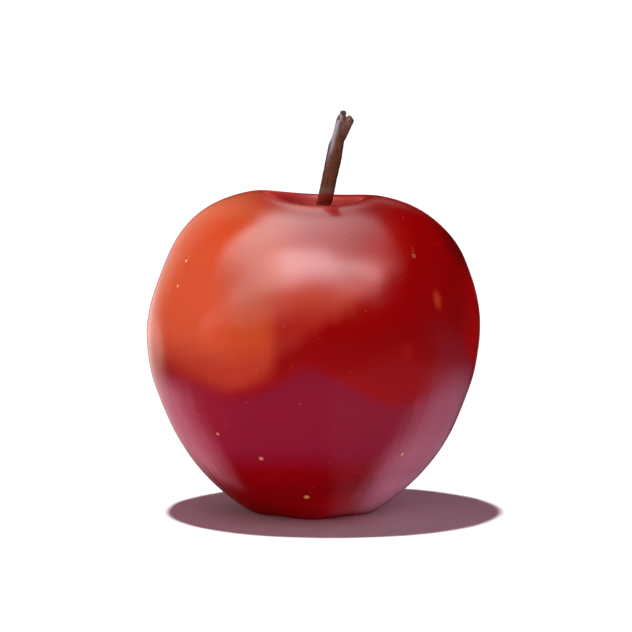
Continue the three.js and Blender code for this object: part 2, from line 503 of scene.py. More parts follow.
    def random(self, low: float, high: float, seed: int) -> Term:
        """Draws a number for each point or instance, with a fixed seed."""
        sockets = {"Min": low, "Max": high, "Seed": seed}
        return self.term(self.node("FunctionNodeRandomValue", {"data_type": "FLOAT"}, sockets))

    def join(self, *shapes: object) -> bpy.types.Node:
        """Joins shapes into one.

        Args:
            shapes: The shapes.

        Returns:
            The node that gives them as one.
        """
        made = self.tree.nodes.new("GeometryNodeJoinGeometry")
        for shape in reversed(shapes):
            self.feed(made.inputs[0], shape)
        return made

    def run(self, shape: object, host: bpy.types.Mesh, finish: bpy.types.Material) -> bpy.types.Mesh:
        """Ends the tree, runs it on the host and gives the plain mesh.

        Args:
            shape: The socket or node that gives the finished shape.
            host: The mesh that the tree starts from.
            finish: The material of the whole shape.

        Returns:
            The plain mesh, with its attributes and its material.
        """
        material = self.ask("Finish", Kind.FINISH, finish)
        real = self.node("GeometryNodeRealizeInstances", sockets={"Geometry": shape})
        dressed = self.node("GeometryNodeSetMaterial", sockets={"Geometry": real, "Material": material})
        self.feed(self.tree.nodes.new("NodeGroupOutput").inputs[0], dressed)
        carrier = bpy.data.objects.new(self.tree.name, host)
        bpy.context.scene.collection.objects.link(carrier)
        modifier = carrier.modifiers.new(self.tree.name, "NODES")
        modifier.node_group = self.tree
        for identifier, value in self.values.items():
            modifier[identifier] = value
        graph = bpy.context.evaluated_depsgraph_get()
        mesh = bpy.data.meshes.new_from_object(
            carrier.evaluated_get(graph), preserve_all_data_layers=True, depsgraph=graph
        )
        for helper in (carrier, *self.helpers):
            bpy.data.objects.remove(helper)
        return mesh


def line_mesh(
    name: str,
    lines: Sequence[Sequence[Place]],
    widths: Sequence[Sequence[float]] = (),
) -> bpy.types.Mesh:
    """Makes a mesh of open lines for a growth tree to start from.

    Args:
        name: The mesh's name.
        lines: The points of each line.
        widths: A half width at each point of each line, stored as "width".

    Returns:
        The mesh.
    """
    points: list[Place] = []
    edges: list[tuple[int, int]] = []
    for line in lines:
        first = len(points)
        points += line
        edges += [(first + i, first + i + 1) for i in range(len(line) - 1)]
    mesh = bpy.data.meshes.new(name)
    mesh.from_pydata(points, edges, [])
    if widths:
        attribute = mesh.attributes.new("width", "FLOAT", "POINT")
        attribute.data.foreach_set("value", [width for row in widths for width in row])
    return mesh


def add_piece(name: str, mesh: bpy.types.Mesh, node: str) -> bpy.types.Object:
    """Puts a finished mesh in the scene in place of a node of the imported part.

    Args:
        name: The piece's name.
        mesh: Its mesh in millimetres, which is brought to metres and into the node's box here.
        node: The node that it stands for.

    Returns:
        The piece.
    """
    low, high = (Vector(corner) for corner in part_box(node))
    points = [vertex.co for vertex in mesh.vertices]
    least = Vector([min(point[i] for point in points) for i in range(3)])
    most = Vector([max(point[i] for point in points) for i in range(3)])
    scale = Vector([(high[i] - low[i]) / (most[i] - least[i]) for i in range(3)])
    shift = Vector([low[i] - least[i] * scale[i] for i in range(3)])
    log.info("%s is scaled by %s to its node", name, [round(part / MM, 4) for part in scale])
    mesh.transform(Matrix.LocRotScale(shift, None, scale))
    turn_outwards(mesh)
    mesh.name = name
    piece = bpy.data.objects.new(name, mesh)
    bpy.context.scene.collection.objects.link(piece)
    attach(piece, "root")
    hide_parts(node)
    return piece


def turn_outwards(mesh: bpy.types.Mesh) -> None:
    """Flips a closed mesh if its faces point inwards.

    Args:
        mesh: The mesh, whose volume is summed from its faces.
    """
    mesh.calc_loop_triangles()
    volume = 0.0
    for triangle in mesh.loop_triangles:
        a, b, c = (mesh.vertices[i].co for i in triangle.vertices)
        volume += a.dot(b.cross(c))
    if volume < 0:
        mesh.flip_normals()


def new_material(name: str) -> tuple[bpy.types.Material, Graph]:
    """Starts a material whose graph is empty.

    Args:
        name: The material's name.

    Returns:
        The material and its graph.
    """
    material = bpy.data.materials.new(name)
    material.use_nodes = True
    material.node_tree.nodes.clear()
    return material, Graph(material.node_tree)


def dress(
    material: bpy.types.Material,
    graph: Graph,
    colour: object,
    rough: Operand,
    height: Operand,
    strength: float,
    depth: float,
    **fixed: object,
) -> bpy.types.Material:
    """Ends a material with its surface.

    Args:
        material: The material.
        graph: Its graph.
        colour: What the surface's colour follows.
        rough: What its roughness follows.
        height: The relief of its bump.
        strength: How strong the bump is.
        depth: The relief's depth in metres.
        **fixed: Values that are the same all over, by socket, with underscores for spaces.

    Returns:
        The finished material.
    """
    relief = {"Strength": strength, "Distance": depth, "Height": height}
    bump = graph.node("ShaderNodeBump", sockets=relief)
    sockets = {"Base Color": colour, "Roughness": rough, "Normal": bump}
    sockets |= {name.replace("_", " "): value for name, value in fixed.items()}
    shader = graph.node("ShaderNodeBsdfPrincipled", sockets=sockets)
    graph.node("ShaderNodeOutputMaterial", sockets={"Surface": shader})
    return material


@dataclass(frozen=True)
class Swelling:
    """A place where the fruit has grown fuller, or flatter where the rise is negative."""

    turn: float  # degrees round the core, from +X
    height: float
    reach: float
    rise: float


@dataclass(frozen=True)
class Blotch:
    """A soft patch of another colour, round a place on the skin."""

    middle: Place
    reach: Place
    colour: Colour
    strength: float
    core: float = 0.3  # share of the reach inside which it is at full strength


@dataclass(frozen=True)
class Lenticel:
    """One pale pore of the skin: its place round the core, its half width and how pale it is."""

    turn: float
    height: float
    radius: float
    glow: float


@dataclass(frozen=True)
class Grain:
    """The sizes of the clouds and streaks that the skin's colours wander with."""

    cloud: float = 0.05  # clouds in a millimetre
    second_cloud: float = 0.07
    second_place: Place = (40.0, 7.0, 90.0)  # how far off the second clouds are read
    streaks_round: float = 9.0
    streaks_along: float = 1.6
    streak: float = 1.3
    finer: float = 3.4  # how many times narrower the fine streaks are
    drift_reach: float = 6.0  # millimetres by which an edge wanders with the clouds
    streak_reach: float = 4.0  # and with the streaks
    loose_reach: tuple[float, float] = (5.0, 20.0)  # with the second clouds: in front, and more at the back
    front: tuple[float, float] = (6.0, -8.0)  # y where the front begins, and where it is full
    aside: tuple[float, float] = (-2.0, 16.0)

    def ground(self, graph: Graph, where: object, meridian: tuple[Term, Term, Term]) -> "Ground":
        """Works out what the paint follows at a place.

        Args:
            graph: The material's graph.
            where: The place on the skin, in millimetres.
            meridian: The meridian's direction and the place along it.

        Returns:
            The ground there.
        """
        x, y, z = graph.parts(where)
        drift = graph.noise(where, self.cloud, 3.0) - 0.5
        second = graph.noise(graph.vector("ADD", where, self.second_place), self.second_cloud, 3.0) - 0.5
        across, away, along = meridian
        round_core = (across * self.streaks_round, away * self.streaks_round)
        strip = graph.point(*round_core, along * self.streaks_along)
        streak = graph.noise(strip, self.streak, 4.0, 0.6) - 0.5
        fine_streak = graph.noise(graph.scaled(strip, self.finer), self.streak, 3.0, 0.6) - 0.5
        wander = drift * self.drift_reach + streak * self.streak_reach
        aside = y.smooth(*self.aside)
        in_front, behind = self.loose_reach
        loose = second * (aside * behind + in_front)
        front = y.smooth(*self.front)
        return Ground(graph, x, y, z, drift, second, loose, streak, fine_streak, wander, front, aside)


@dataclass(frozen=True)
class Ground:
    """What the skin's paint follows: the place in millimetres, and noises of several sizes there."""

    graph: Graph
    x: Term
    y: Term
    z: Term
    drift: Term  # large soft clouds, about 0
    second: Term  # a second set of them
    loose: Term  # the second set in millimetres, stronger towards the back
    streak: Term  # streaks that run from the stem to the eye
    fine_streak: Term
    wander: Term  # clouds and streaks together, in millimetres
    front: Term  # 1 in front, 0 behind the core
    aside: Term  # 0 in front, 1 at the back


@dataclass(frozen=True)
class SkinFinish:
    """The waxy skin: deep red with an orange flush on one side. Painted light: a painted reflection of the
    floor in the crimson belt's purple tint and in the lilac bloom low down, painted highlight as a duller
    patch and a paler lip under the crown's highlight, painted shade on a shoulder and in the stem pit, and
    brighter red where the light falls off.
    """

    deep_red: Colour = screen(134, 0, 2)
    # painted light: a brighter red for the far right edge, lifting the red where the light falls off
    light_lifting_ruby: Colour = screen(178, 2, 4)
    brick: Colour = screen(150, 31, 23)
    orange: Colour = screen(187, 65, 30)
    orange_pale: Colour = screen(190, 74, 44)
    orange_low: Colour = screen(166, 48, 32)
    orange_red: Colour = screen(168, 26, 8)
    orange_dull: Colour = screen(173, 64, 30)
    # painted highlight: the greyish veil of the crown's highlight, as a duller red
    highlight_dull_left: Colour = screen(150, 56, 30)
    highlight_dull_right: Colour = screen(128, 22, 20)
    # the belt's purple tint is a painted reflection of the lit floor
    crimson: Colour = screen(122, 15, 40)
    crimson_left: Colour = screen(134, 20, 42)
    base_red: Colour = screen(126, 1, 8)
    # painted light: brighter reds at the foot, lifting the shade near the floor
    shade_lifting_red: Colour = screen(174, 12, 22)
    shade_lifting_dark: Colour = screen(140, 1, 8)
    dark_red: Colour = screen(84, 1, 6)
    # the lilac veil is partly wax bloom and partly a painted reflection of the floor
    veil_high: Colour = screen(130, 34, 50)
    lilac: Colour = screen(152, 77, 96)
    lilac_low: Colour = screen(172, 100, 120)
    lilac_foot: Colour = screen(205, 125, 150)
    left_reflection_pink: Colour = screen(186, 106, 124)
    # painted shade for the stem pit
    pit_shade_red: Colour = screen(104, 0, 2)
    russet: Colour = screen(122, 84, 40)
    leaf_green: Colour = screen(150, 140, 60)
    pore: Colour = screen(236, 176, 120)
    grain: Grain = Grain()
    flush_edge: float = -10.0  # x where the orange flush ends
    flush_foot: float = 36.6  # height of its lower edge
    belt_top: float = 30.5  # upper edge of the crimson belt
    base_top: float = 19.0  # upper edge of the red below the belt
    veil_edge: float = 12.0  # x of the right veil's inner edge at the floor
    veil_top: float = 48.5  # its upper edge in the middle of the front
    pit_radius: float = 12.5  # of the painted shade round the stem, in its pit
    roughness: float = 0.18
    pore_roughness: float = 0.2  # more than that, as are the next two
    pit_roughness: float = 0.45
    cloud_roughness: float = 0.06
    blotches: tuple[Blotch, ...] = (
        Blotch((27.6, -23.3, 51.2), (1.8, 2.2, 3.6), screen(186, 66, 36), 0.6, 0.0),
        Blotch((20.7, -31.2, 40.8), (2.8, 2.8, 2.8), screen(170, 34, 30), 0.3, 0.0),
        Blotch((23.5, -26.0, 27.8), (2.6, 2.6, 2.6), screen(176, 60, 70), 0.2, 0.0),
        Blotch((-5.6, -37.2, 45.6), (4.0, 4.0, 4.5), screen(150, 28, 20), 0.7, 0.2),
        # painted highlight: a paler red on the front lip of the stem pit, where the crown's highlight
        # reaches
        Blotch((-1.0, -15.0, 71.2), (8.5, 4.0, 2.0), screen(178, 70, 60), 0.6, 0.2),
        # painted shade: a darker red over the upper right shoulder
        Blotch((33.0, -4.0, 62.0), (8.0, 12.0, 9.0), screen(96, 1, 3), 0.8, 0.2),
    )

    def material(self) -> bpy.types.Material:
        """Builds the skin's material.

        Returns:
            The material, which reads Object coordinates and the attributes that the growth tree stores.
        """
        material, graph = new_material("waxy skin")
        where = graph.place()
        meridian = graph.parts(graph.out(graph.attribute("meridian"), "Vector"))
        colour = self.paint(graph, where, meridian)
        pore = graph.measure("LENGTH", graph.out(graph.attribute("pore_offset"), "Vector"))
        radius = graph.term(graph.attribute("pore_radius"), "Fac").most(1e-4)
        glow = graph.term(graph.attribute("pore_glow"), "Fac")
        spot = (pore / radius).smooth(1.0, 0.35) * glow
        halo = (pore / radius).hump(1.3, 0.3) * glow
        colour = graph.mix(halo * 0.2, colour, self.dark_red)
        colour = graph.mix(spot, colour, self.pore)
        height = graph.noise(where, 0.9, 2.0) * 0.5 + graph.noise(where, 1.6, 3.0) * 0.18 + spot * 0.25
        x, y, z = graph.parts(where)
        pit = (x * x + y * y).smooth(150, 90) * z.smooth(50, 56)
        cloud = graph.noise(where, 0.11, 3.0) - 0.5
        rough = self.roughness + cloud * self.cloud_roughness
        rough = rough + spot * self.pore_roughness + pit * self.pit_roughness
        return dress(material, graph, colour, rough, height, strength=0.08, depth=0.0003, IOR=1.33)

    def paint(self, graph: Graph, where: object, meridian: tuple[Term, Term, Term]) -> bpy.types.NodeSocket:
        """Works out the skin's colour without its pores.

        Args:
            graph: The material's graph.
            where: The place on the skin, in millimetres.
            meridian: The meridian's direction and the place along it.

        Returns:
            The colour.
        """
        ground = self.grain.ground(graph, where, meridian)
        colour = self.red_side(ground)
        colour = self.flushed(ground, colour)
        colour = self.dulled_under_highlight(ground, colour)
        colour = self.belted_with_reflection(ground, colour)
        colour = self.bloomed_and_reflected(ground, colour)
        for blotch in self.blotches:
            away = graph.vector("DIVIDE", graph.vector("SUBTRACT", where, blotch.middle), blotch.reach)
            near = graph.measure("LENGTH", away).smooth(1.0, blotch.core)
            colour = graph.mix(near * blotch.strength, colour, blotch.colour)
        colour = self.hollowed(ground, colour)
        return graph.mix(ground.fine_streak.most(0) * 0.15, colour, self.dark_red)

    def red_side(self, ground: Ground) -> bpy.types.NodeSocket:
        """Paints the red side: brick under the shoulder, deep red across the cheek, and a brighter red at
        its far edge, painted light that lifts the red where the light falls off.

        Args:
            ground: What the paint follows.

        Returns:
            The colour.
        """
        x, z, wander, aside = ground.x, ground.z, ground.wander, ground.aside
        shoulder = (z - x * 0.68 + wander * (aside * 2 + 1)).smooth(aside * -7 + 42.5, aside * 7 + 47.5)
        cheek = shoulder * (x + wander).smooth(24, 13) * (1 - z.smooth(64, 70) * x.smooth(0, 9) * 0.9)
        colour = ground.graph.mix(cheek * (0.35 + ground.front * 0.65), self.deep_red, self.brick)
        # painted light: brighter red at the far right edge, where the light falls off
        return ground.graph.mix(x.smooth(32, 38) * z.smooth(64, 54), colour, self.light_lifting_ruby)

    def flushed(self, ground: Ground, colour: object) -> bpy.types.NodeSocket:
        """Adds the orange flush of the left side, with a weaker tongue of it across the front that is a
        painted highlight, the warm lower edge of the crown's highlight.

        Args:
            ground: What the paint follows.
            colour: The colour so far.

        Returns:
            The colour with the flush.
        """
        graph, x, y, z = ground.graph, ground.x, ground.y, ground.z
        edge = z.smooth(62, 72) * -2 + z.smooth(50, 56) + self.flush_edge - y.most(0) * 0.3
        width = z.smooth(47, 62) * 2.5 + 2.8 + ground.aside * 6
        flush = ((x - edge + ground.wander * (ground.aside * 1.5 + 0.9)) / width).smooth(1, -1)
        # painted highlight: the tongue lays the warm lower edge of the crown's highlight across the front
        tongue = z.hump(54.5, 4.5) * x.smooth(15, 4) * x.smooth(-18, -8) * ground.front * 0.5
        foot = self.flush_foot - x.hump(-18.5, 7.5) * 3.8
        flush = flush.most(tongue) * (z + ground.loose).smooth(foot - 2.6, foot + 2.6)
        far = (x + y * 0.3 + ground.drift * 8).smooth(-24, -33)
        orange = graph.mix(far, self.orange, self.orange_pale)
        orange = graph.mix((z + ground.drift * 8).smooth(44, 35), orange, self.orange_low)
        orange = graph.mix(z.smooth(64, 71) * x.smooth(-17, -9), orange, self.orange_red)
        orange = graph.mix(x.smooth(-23, -14) * z.smooth(40, 47), orange, self.orange_dull)
        orange = graph.mix(ground.fine_streak.smooth(0.02, 0.25) * 0.1, orange, self.brick)
        return graph.mix(flush, colour, orange)

    def dulled_under_highlight(self, ground: Ground, colour: object) -> bpy.types.NodeSocket:
        """Adds the duller patch in the middle of the crown's front, a painted highlight that lays the
        greyish veil of the crown's highlight into the colour.

        Args:
            ground: What the paint follows.
            colour: The colour so far.

        Returns:
            The colour with the patch.
        """
        x, z, wander = ground.x, ground.z, ground.wander
        # painted highlight: a duller red under the crown's highlight, standing for its greyish veil
        highlight_dull = ground.graph.mix((x + wander * 0.5).smooth(-12, 0), self.highlight_dull_left, self.highlight_dull_right)
        lowest = x.smooth(-14, -4) * 6 + 45
        patch = (x + wander * 0.5).smooth(-26, -12) * (z + ground.drift * 6).smooth(lowest, lowest + 9)
        patch = patch * (z - x * 0.8).smooth(80, 75) * (x - (z - 60) * 0.6).smooth(16, 6)
        return ground.graph.mix(patch * ground.y.smooth(2, -8) * 0.9, colour, highlight_dull)

    def belted_with_reflection(self, ground: Ground, colour: object) -> bpy.types.NodeSocket:
        """Adds the crimson belt, whose purple tint is a painted reflection of the lit floor, redder towards
        the left, and the red below it, with a foot whose brighter red is painted light that lifts the shade
        near the floor.

        Args:
            ground: What the paint follows.
            colour: The colour so far.

        Returns:
            The colour with the belt.
        """
        graph, x, z = ground.graph, ground.x, ground.z
        top = self.belt_top + x.hump(-1.5, 11) * 6.8 + x.smooth(-5, -18) * 3.5 - x.hump(19, 7) * 2
        top = top - x.hump(-16.5, 8) * 3.8
        soft = ground.aside * 3 + 2.6
        # painted reflection: the purple tint of the belt stands for the lit floor mirrored in the lower
        # skin
        crimson = graph.mix(x.smooth(-14, -26), self.crimson, self.crimson_left)
        belt = (z + ground.loose).smooth(top + soft, top - soft)
        colour = graph.mix(belt, colour, crimson)
        base = (z + ground.drift * 6).smooth(self.base_top, self.base_top - 7.5)
        colour = graph.mix(base, colour, self.base_red)
        # painted light: the foot is brighter than the red above it, lifting the shade near the floor, more
        # to the right
        foot = graph.mix(x.smooth(-4, 7), self.shade_lifting_dark, self.shade_lifting_red)
        return graph.mix(z.smooth(9, 3), colour, foot)

    def bloomed_and_reflected(self, ground: Ground, colour: object) -> bpy.types.NodeSocket:
        """Adds a lilac veil low down on both sides that grows patchy towards the back, partly wax bloom and
        partly a painted reflection of the pale floor.

        Args:
            ground: What the paint follows.
            colour: The colour so far.

        Returns:
            The colour with the bloom.
        """
        graph, x, z, wander, aside = ground.graph, ground.x, ground.z, ground.wander, ground.aside
        height = z + (ground.second * 18 + ground.streak * 10 + 10) * aside
        patchy = 1 - aside * (ground.second.smooth(0.25, -0.25) * 0.5 + 0.45)
        inner = self.veil_edge + z.smooth(0, 38) * 16
        top = self.veil_top - (x + ground.y) * 0.53
        right = (x - inner + wander).smooth(-5, 5) * (top - height + wander).smooth(-4, 4)
        right = right * (height.smooth(44, 28) * 0.6 + 0.4) * patchy
        outer = z.smooth(0, 36) * -13 - 17.5
        left = (outer - x + wander * 0.6).smooth(-5, 6) * patchy
        left = left * height.smooth(35, 28) * (height + ground.streak * 8).smooth(4, 14)
        # painted reflection: the lilac and the rose of the veils stand for the pale floor mirrored low on
        # both sides, laid on like bloom
        veil = graph.mix(z.smooth(38, 26), self.veil_high, self.lilac)
        veil = graph.mix(z.smooth(24, 13), veil, self.lilac_low)
        veil = graph.mix(z.smooth(12, 7), veil, self.lilac_foot)
        colour = graph.mix(right * (0.95 + ground.streak * 0.12), colour, veil)
        return graph.mix(left * (0.85 + ground.streak * 0.12), colour, self.left_reflection_pink)

    def hollowed(self, ground: Ground, colour: object) -> bpy.types.NodeSocket:
        """Paints shade into the stem pit as a darker red, and adds the russet and green of its floor and
        the russet of the eye.

        Args:
            ground: What the paint follows.
            colour: The colour so far.

        Returns:
            The colour with the two hollows.
        """
        graph, z = ground.graph, ground.z
        radius = (ground.x * ground.x + ground.y * ground.y).most(1) ** 0.5
        pit = z.smooth(40, 50)
        pit_shade = (radius + ground.streak * 2).smooth(self.pit_radius, self.pit_radius - 3) * pit
        # painted shade: a darker red in the stem pit
        colour = graph.mix(pit_shade * 0.9, colour, self.pit_shade_red)
        green = (radius + ground.streak * 6).smooth(7.0, 3.0) * pit
        colour = graph.mix(green * 0.45, colour, self.leaf_green)
        floor = (radius + ground.streak * 7).smooth(4.6, 2.2) * pit
        colour = graph.mix(floor, colour, self.russet)
        eye = (radius + ground.fine_streak * 6).smooth(8.5, 4.0) * z.smooth(20, 12)
        return graph.mix(eye * 0.8, colour, self.russet)


@dataclass
class Fruit:
    """The fruit: one closed skin, from the floor of the stem pit to the floor of the eye basin."""

    outline: tuple[tuple[float, float], ...] = (
        (0, 60.2), (2.3, 60.6), (4.4, 64.2), (6.9, 69.3), (10.9, 72.9),
        (17.0, 72.6), (24.1, 69.6), (30.5, 63.7), (35.0, 55.3), (37.6, 45.8),
        (37.5, 35.8), (35.0, 26.2), (30.7, 17.2), (24.9, 9.2), (18.2, 2.9),
        (12.5, -0.3), (8.6, 1.1), (5.4, 4.6), (2.6, 6.6), (0, 7.0),
    )
    crest: int = 4
    foot: int = 15
    spline_rounds: int = 60
    spline_steps: int = 240
    around: int = 288
    along: int = 210
    crown_dip: float = 1.2
    crown_saddle: float = 1.4
    crown_lean: float = 0.9
    crown_from: float = 50
    lean_from: float = 46
    lobes: int = 5
    valley: float = 0.55
    valley_top: float = 9
    waist: float = 0.012
    waist_top: float = 40
    swellings: tuple[Swelling, ...] = (
        Swelling(0, 58, 14, 0.6),
        Swelling(180, 55, 12, -0.5),
        Swelling(180, 68, 11, 0.5),
        Swelling(75, 44, 20, -0.7),
        Swelling(125, 60, 15, 0.6),
        Swelling(250, 34, 18, 0.35),
        Swelling(285, 52, 14, -0.3),
        Swelling(330, 16, 14, -0.3),
        Swelling(350, 14, 12, 0.55),
        Swelling(180, 7, 9, 0.4),
    )
    lenticels: tuple[Lenticel, ...] = (
        Lenticel(-149.7, 59.2, 0.55, 0.9),
        Lenticel(-148.9, 53.7, 0.5, 0.8),
        Lenticel(-130.0, 21.4, 0.6, 0.85),
        Lenticel(-112.5, 16.1, 0.7, 0.4),
        Lenticel(-93.4, 6.7, 0.9, 0.6),
        Lenticel(-47.3, 16.1, 0.65, 0.6),
        Lenticel(-45.1, 60.9, 0.8, 0.15),
    )
    unevenness: float = 0.9
    uneven_from: float = 12.0  # height above which the skin is fully uneven
    middling_radius: float = 36.0
    pucker: float = 0.35  # height of the folds round the eye
    furrow: float = 1.4  # of the rays in the floor of the pit
    collar: float = 0.5  # of the ridge round the foot of the stem
    pore_gap: float = 7.5  # least distance between the pores that are scattered
    pore_density: float = 0.05
    pore_seed: int = 11
    pore_sizes: tuple[float, float] = (0.2, 0.36)
    pore_glows: tuple[float, float] = (0.02, 0.14)
    pore_halo: float = 1.4  # how far round its edge a pore is still read

    def section(self) -> list[Place]:
        """Runs a smooth cubic B-spline through half of the section.

        Returns:
            Points of the spline, from the pit to the basin, with the radius as x and the height as z.
        """
        rows = [Vector(point) for point in self.outline]
        controls = [row.copy() for row in rows]

        def framed() -> list[Vector]:
            """Adds the mirror images across the axis, so that both poles are smooth."""
            ghosts = [Vector((-row.x, row.y)) for row in (controls[1], controls[-2])]
            return [ghosts[0], *controls, ghosts[1]]

        for _ in range(self.spline_rounds):
            row = framed()
            controls = [
                control + rows[i] - (row[i] + 4 * row[i + 1] + row[i + 2]) / 6
                for i, control in enumerate(controls)
            ]
        row = framed()
        points = []
        for step in range(self.spline_steps + 1):
            place = step / self.spline_steps * (len(rows) - 1)
            first = min(int(place), len(rows) - 2)
            u = place - first
            weights = ((1 - u) ** 3, 3 * u**3 - 6 * u**2 + 4, -3 * u**3 + 3 * u**2 + 3 * u + 1, u**3)
            point = sum((weight / 6 * row[first + j] for j, weight in enumerate(weights)), Vector((0, 0)))
            points.append((0.0 if step in (0, self.spline_steps) else point.x, 0.0, point.y))
        return points

    def wall_radius(self, height: float) -> float:
        """Finds the radius of the outer wall, from the outline between crest and foot.

        Args:
            height: The height on the wall.

        Returns:
            The radius there.
        """
        for outer, inner in zip(self.outline[self.crest : self.foot], self.outline[self.crest + 1 :]):
            if inner[1] <= height <= outer[1]:
                return inner[0] + (outer[0] - inner[0]) * (height - inner[1]) / (outer[1] - inner[1])
        raise ValueError(f"the fruit has no wall at {height} mm")

    def wall_place(self, turn: float, height: float) -> Place:
        """Finds a point of the outer wall from its angle round the core and its height."""
        radius = self.wall_radius(height)
        return (radius * math.cos(math.radians(turn)), radius * math.sin(math.radians(turn)), height)

    def grown(self, tree: Growth, radius: Term, turn: Term, height: Term) -> bpy.types.NodeSocket:
        """Turns a point of the plain round fruit into one of the grown fruit.

        Args:
            tree: The growth tree.
            radius, turn, height: The point round the core.

        Returns:
            The grown point.
        """
        top = self.outline[self.crest][1]
        valley = (1 - ((turn + math.pi / 2) * self.lobes).cos()) / 2
        crown = height.smooth(tree.size("Crown from", self.crown_from), top)
        ring = 1 - height.smooth(0.0, tree.size("Valley top", self.valley_top))
        waist = valley * (1 - height.smooth(0.0, tree.size("Waist top", self.waist_top)))
        stretch = 1 - tree.size("Waist", self.waist) * waist
        x = radius * turn.cos()
        y = radius * turn.sin()
        plain = tree.point(x, y, height)
        for swelling in self.swellings:
            middle = self.wall_place(swelling.turn, swelling.height)
            rise = swelling.rise / self.wall_radius(swelling.height)
            near = tree.measure("DISTANCE", plain, middle).hump(0, swelling.reach)
            stretch = stretch * (1 + near * rise)
        uneven = tree.noise(tree.scaled(plain, 0.06), 1.0, 1.0) - 0.5
        uneven = uneven * tree.size("Unevenness", self.unevenness)
        stretch = stretch + uneven * height.smooth(0.0, self.uneven_from) / self.middling_radius
        pucker = (turn * 10).cos() * radius.hump(6.2, 2.2) * height.smooth(14.0, 6.0)
        furrow = tree.noise(tree.point(turn.cos() * 3, turn.sin() * 3, height * 0.05), 1.0, 2.0) - 0.5
        furrow = furrow * radius.hump(5.0, 3.0) * height.smooth(40.0, 55.0)
        collar = radius.hump(1.6, 0.9) * height.smooth(50.0, 58.0)
        lean = tree.size("Crown lean", self.crown_lean) * height.smooth(self.lean_from, top)
        dip = (1 + turn.cos()) / 2 * tree.size("Crown dip", self.crown_dip)
        dip = dip + turn.sin() * turn.sin() * tree.size("Crown saddle", self.crown_saddle)
        lift = ring * valley * tree.size("Valley", self.valley)
        raised = height - crown * dip + lift
        raised = raised + pucker * self.pucker + furrow * self.furrow + collar * self.collar
        return tree.point(x * stretch + lean, y * stretch, raised.most(0.0))

    def pores(self, tree: Growth, skin: object) -> bpy.types.Node:
        """Stores at every point of the skin where its nearest pore is, and how large and pale it is.

        Args:
            tree: The growth tree.
            skin: The grown skin.

        Returns:
            The node that gives the skin with its attributes.
        """
        scatter = tree.node(
            "GeometryNodeDistributePointsOnFaces",
            {"distribute_method": "POISSON"},
            {
                "Mesh": skin,
                "Distance Min": tree.size("Pore gap", self.pore_gap),
                "Density Max": self.pore_density,
                "Seed": tree.ask("Pore seed", Kind.COUNT, self.pore_seed),
            },
        )
        small = tree.store(tree.out(scatter, "Points"), "pore_radius", tree.random(*self.pore_sizes, 3))
        small = tree.store(small, "pore_glow", tree.random(*self.pore_glows, 5))
        marks = tree.second("Pores", self.pore_marks())
        large = tree.node("GeometryNodeMeshToPoints", sockets={"Mesh": marks})
        every = tree.join(large, small)
        position = tree.position()
        at_pore = tree.reader(every)
        offset = tree.vector("SUBTRACT", position, at_pore(position, "FLOAT_VECTOR"))
        radius = Term(tree, at_pore(tree.named("pore_radius")))
        near = tree.measure("LENGTH", offset).below(radius + self.pore_halo)
        made = tree.store(skin, "pore_offset", offset, "FLOAT_VECTOR")
        made = tree.store(made, "pore_glow", at_pore(tree.named("pore_glow")))
        return tree.store(made, "pore_radius", radius * near)

    def pore_marks(self) -> bpy.types.Mesh:
        """Makes a mesh whose points are the pores with places of their own.

        Returns:
            The mesh, with each pore's radius and glow.
        """
        mesh = bpy.data.meshes.new("pore marks")
        mesh.from_pydata([self.wall_place(pore.turn, pore.height) for pore in self.lenticels], [], [])
        for name, values in (
            ("pore_radius", [pore.radius for pore in self.lenticels]),
            ("pore_glow", [pore.glow for pore in self.lenticels]),
        ):
            mesh.attributes.new(name, "FLOAT", "POINT").data.foreach_set("value", values)
        return mesh

    def build(self, finish: SkinFinish) -> bpy.types.Object:
        """Grows the skin and fits it to the fruit's box.

        Args:
            finish: The skin's finish.

        Returns:
            The skin as a piece.
        """
        tree = Growth("apple skin")
        grid, turn, place = tree.sheet(self.around, self.along)
        line = tree.node("GeometryNodeMeshToCurve", sockets={"Mesh": tree.host})
        sockets = {"Curves": line, "Factor": place}
        sample = tree.node("GeometryNodeSampleCurve", {"mode": "FACTOR"}, sockets)
        radius, _, height = tree.parts(tree.out(sample, "Position"))
        marked = tree.store(grid, "meridian", tree.point(turn.cos(), turn.sin(), place), "FLOAT_VECTOR")
        skin = self.pores(tree, tree.closed(tree.moved(marked, self.grown(tree, radius, turn, height))))
        mesh = tree.run(skin, line_mesh("outline", [self.section()]), finish.material())
        return add_piece("apple_skin", mesh, "fruit")


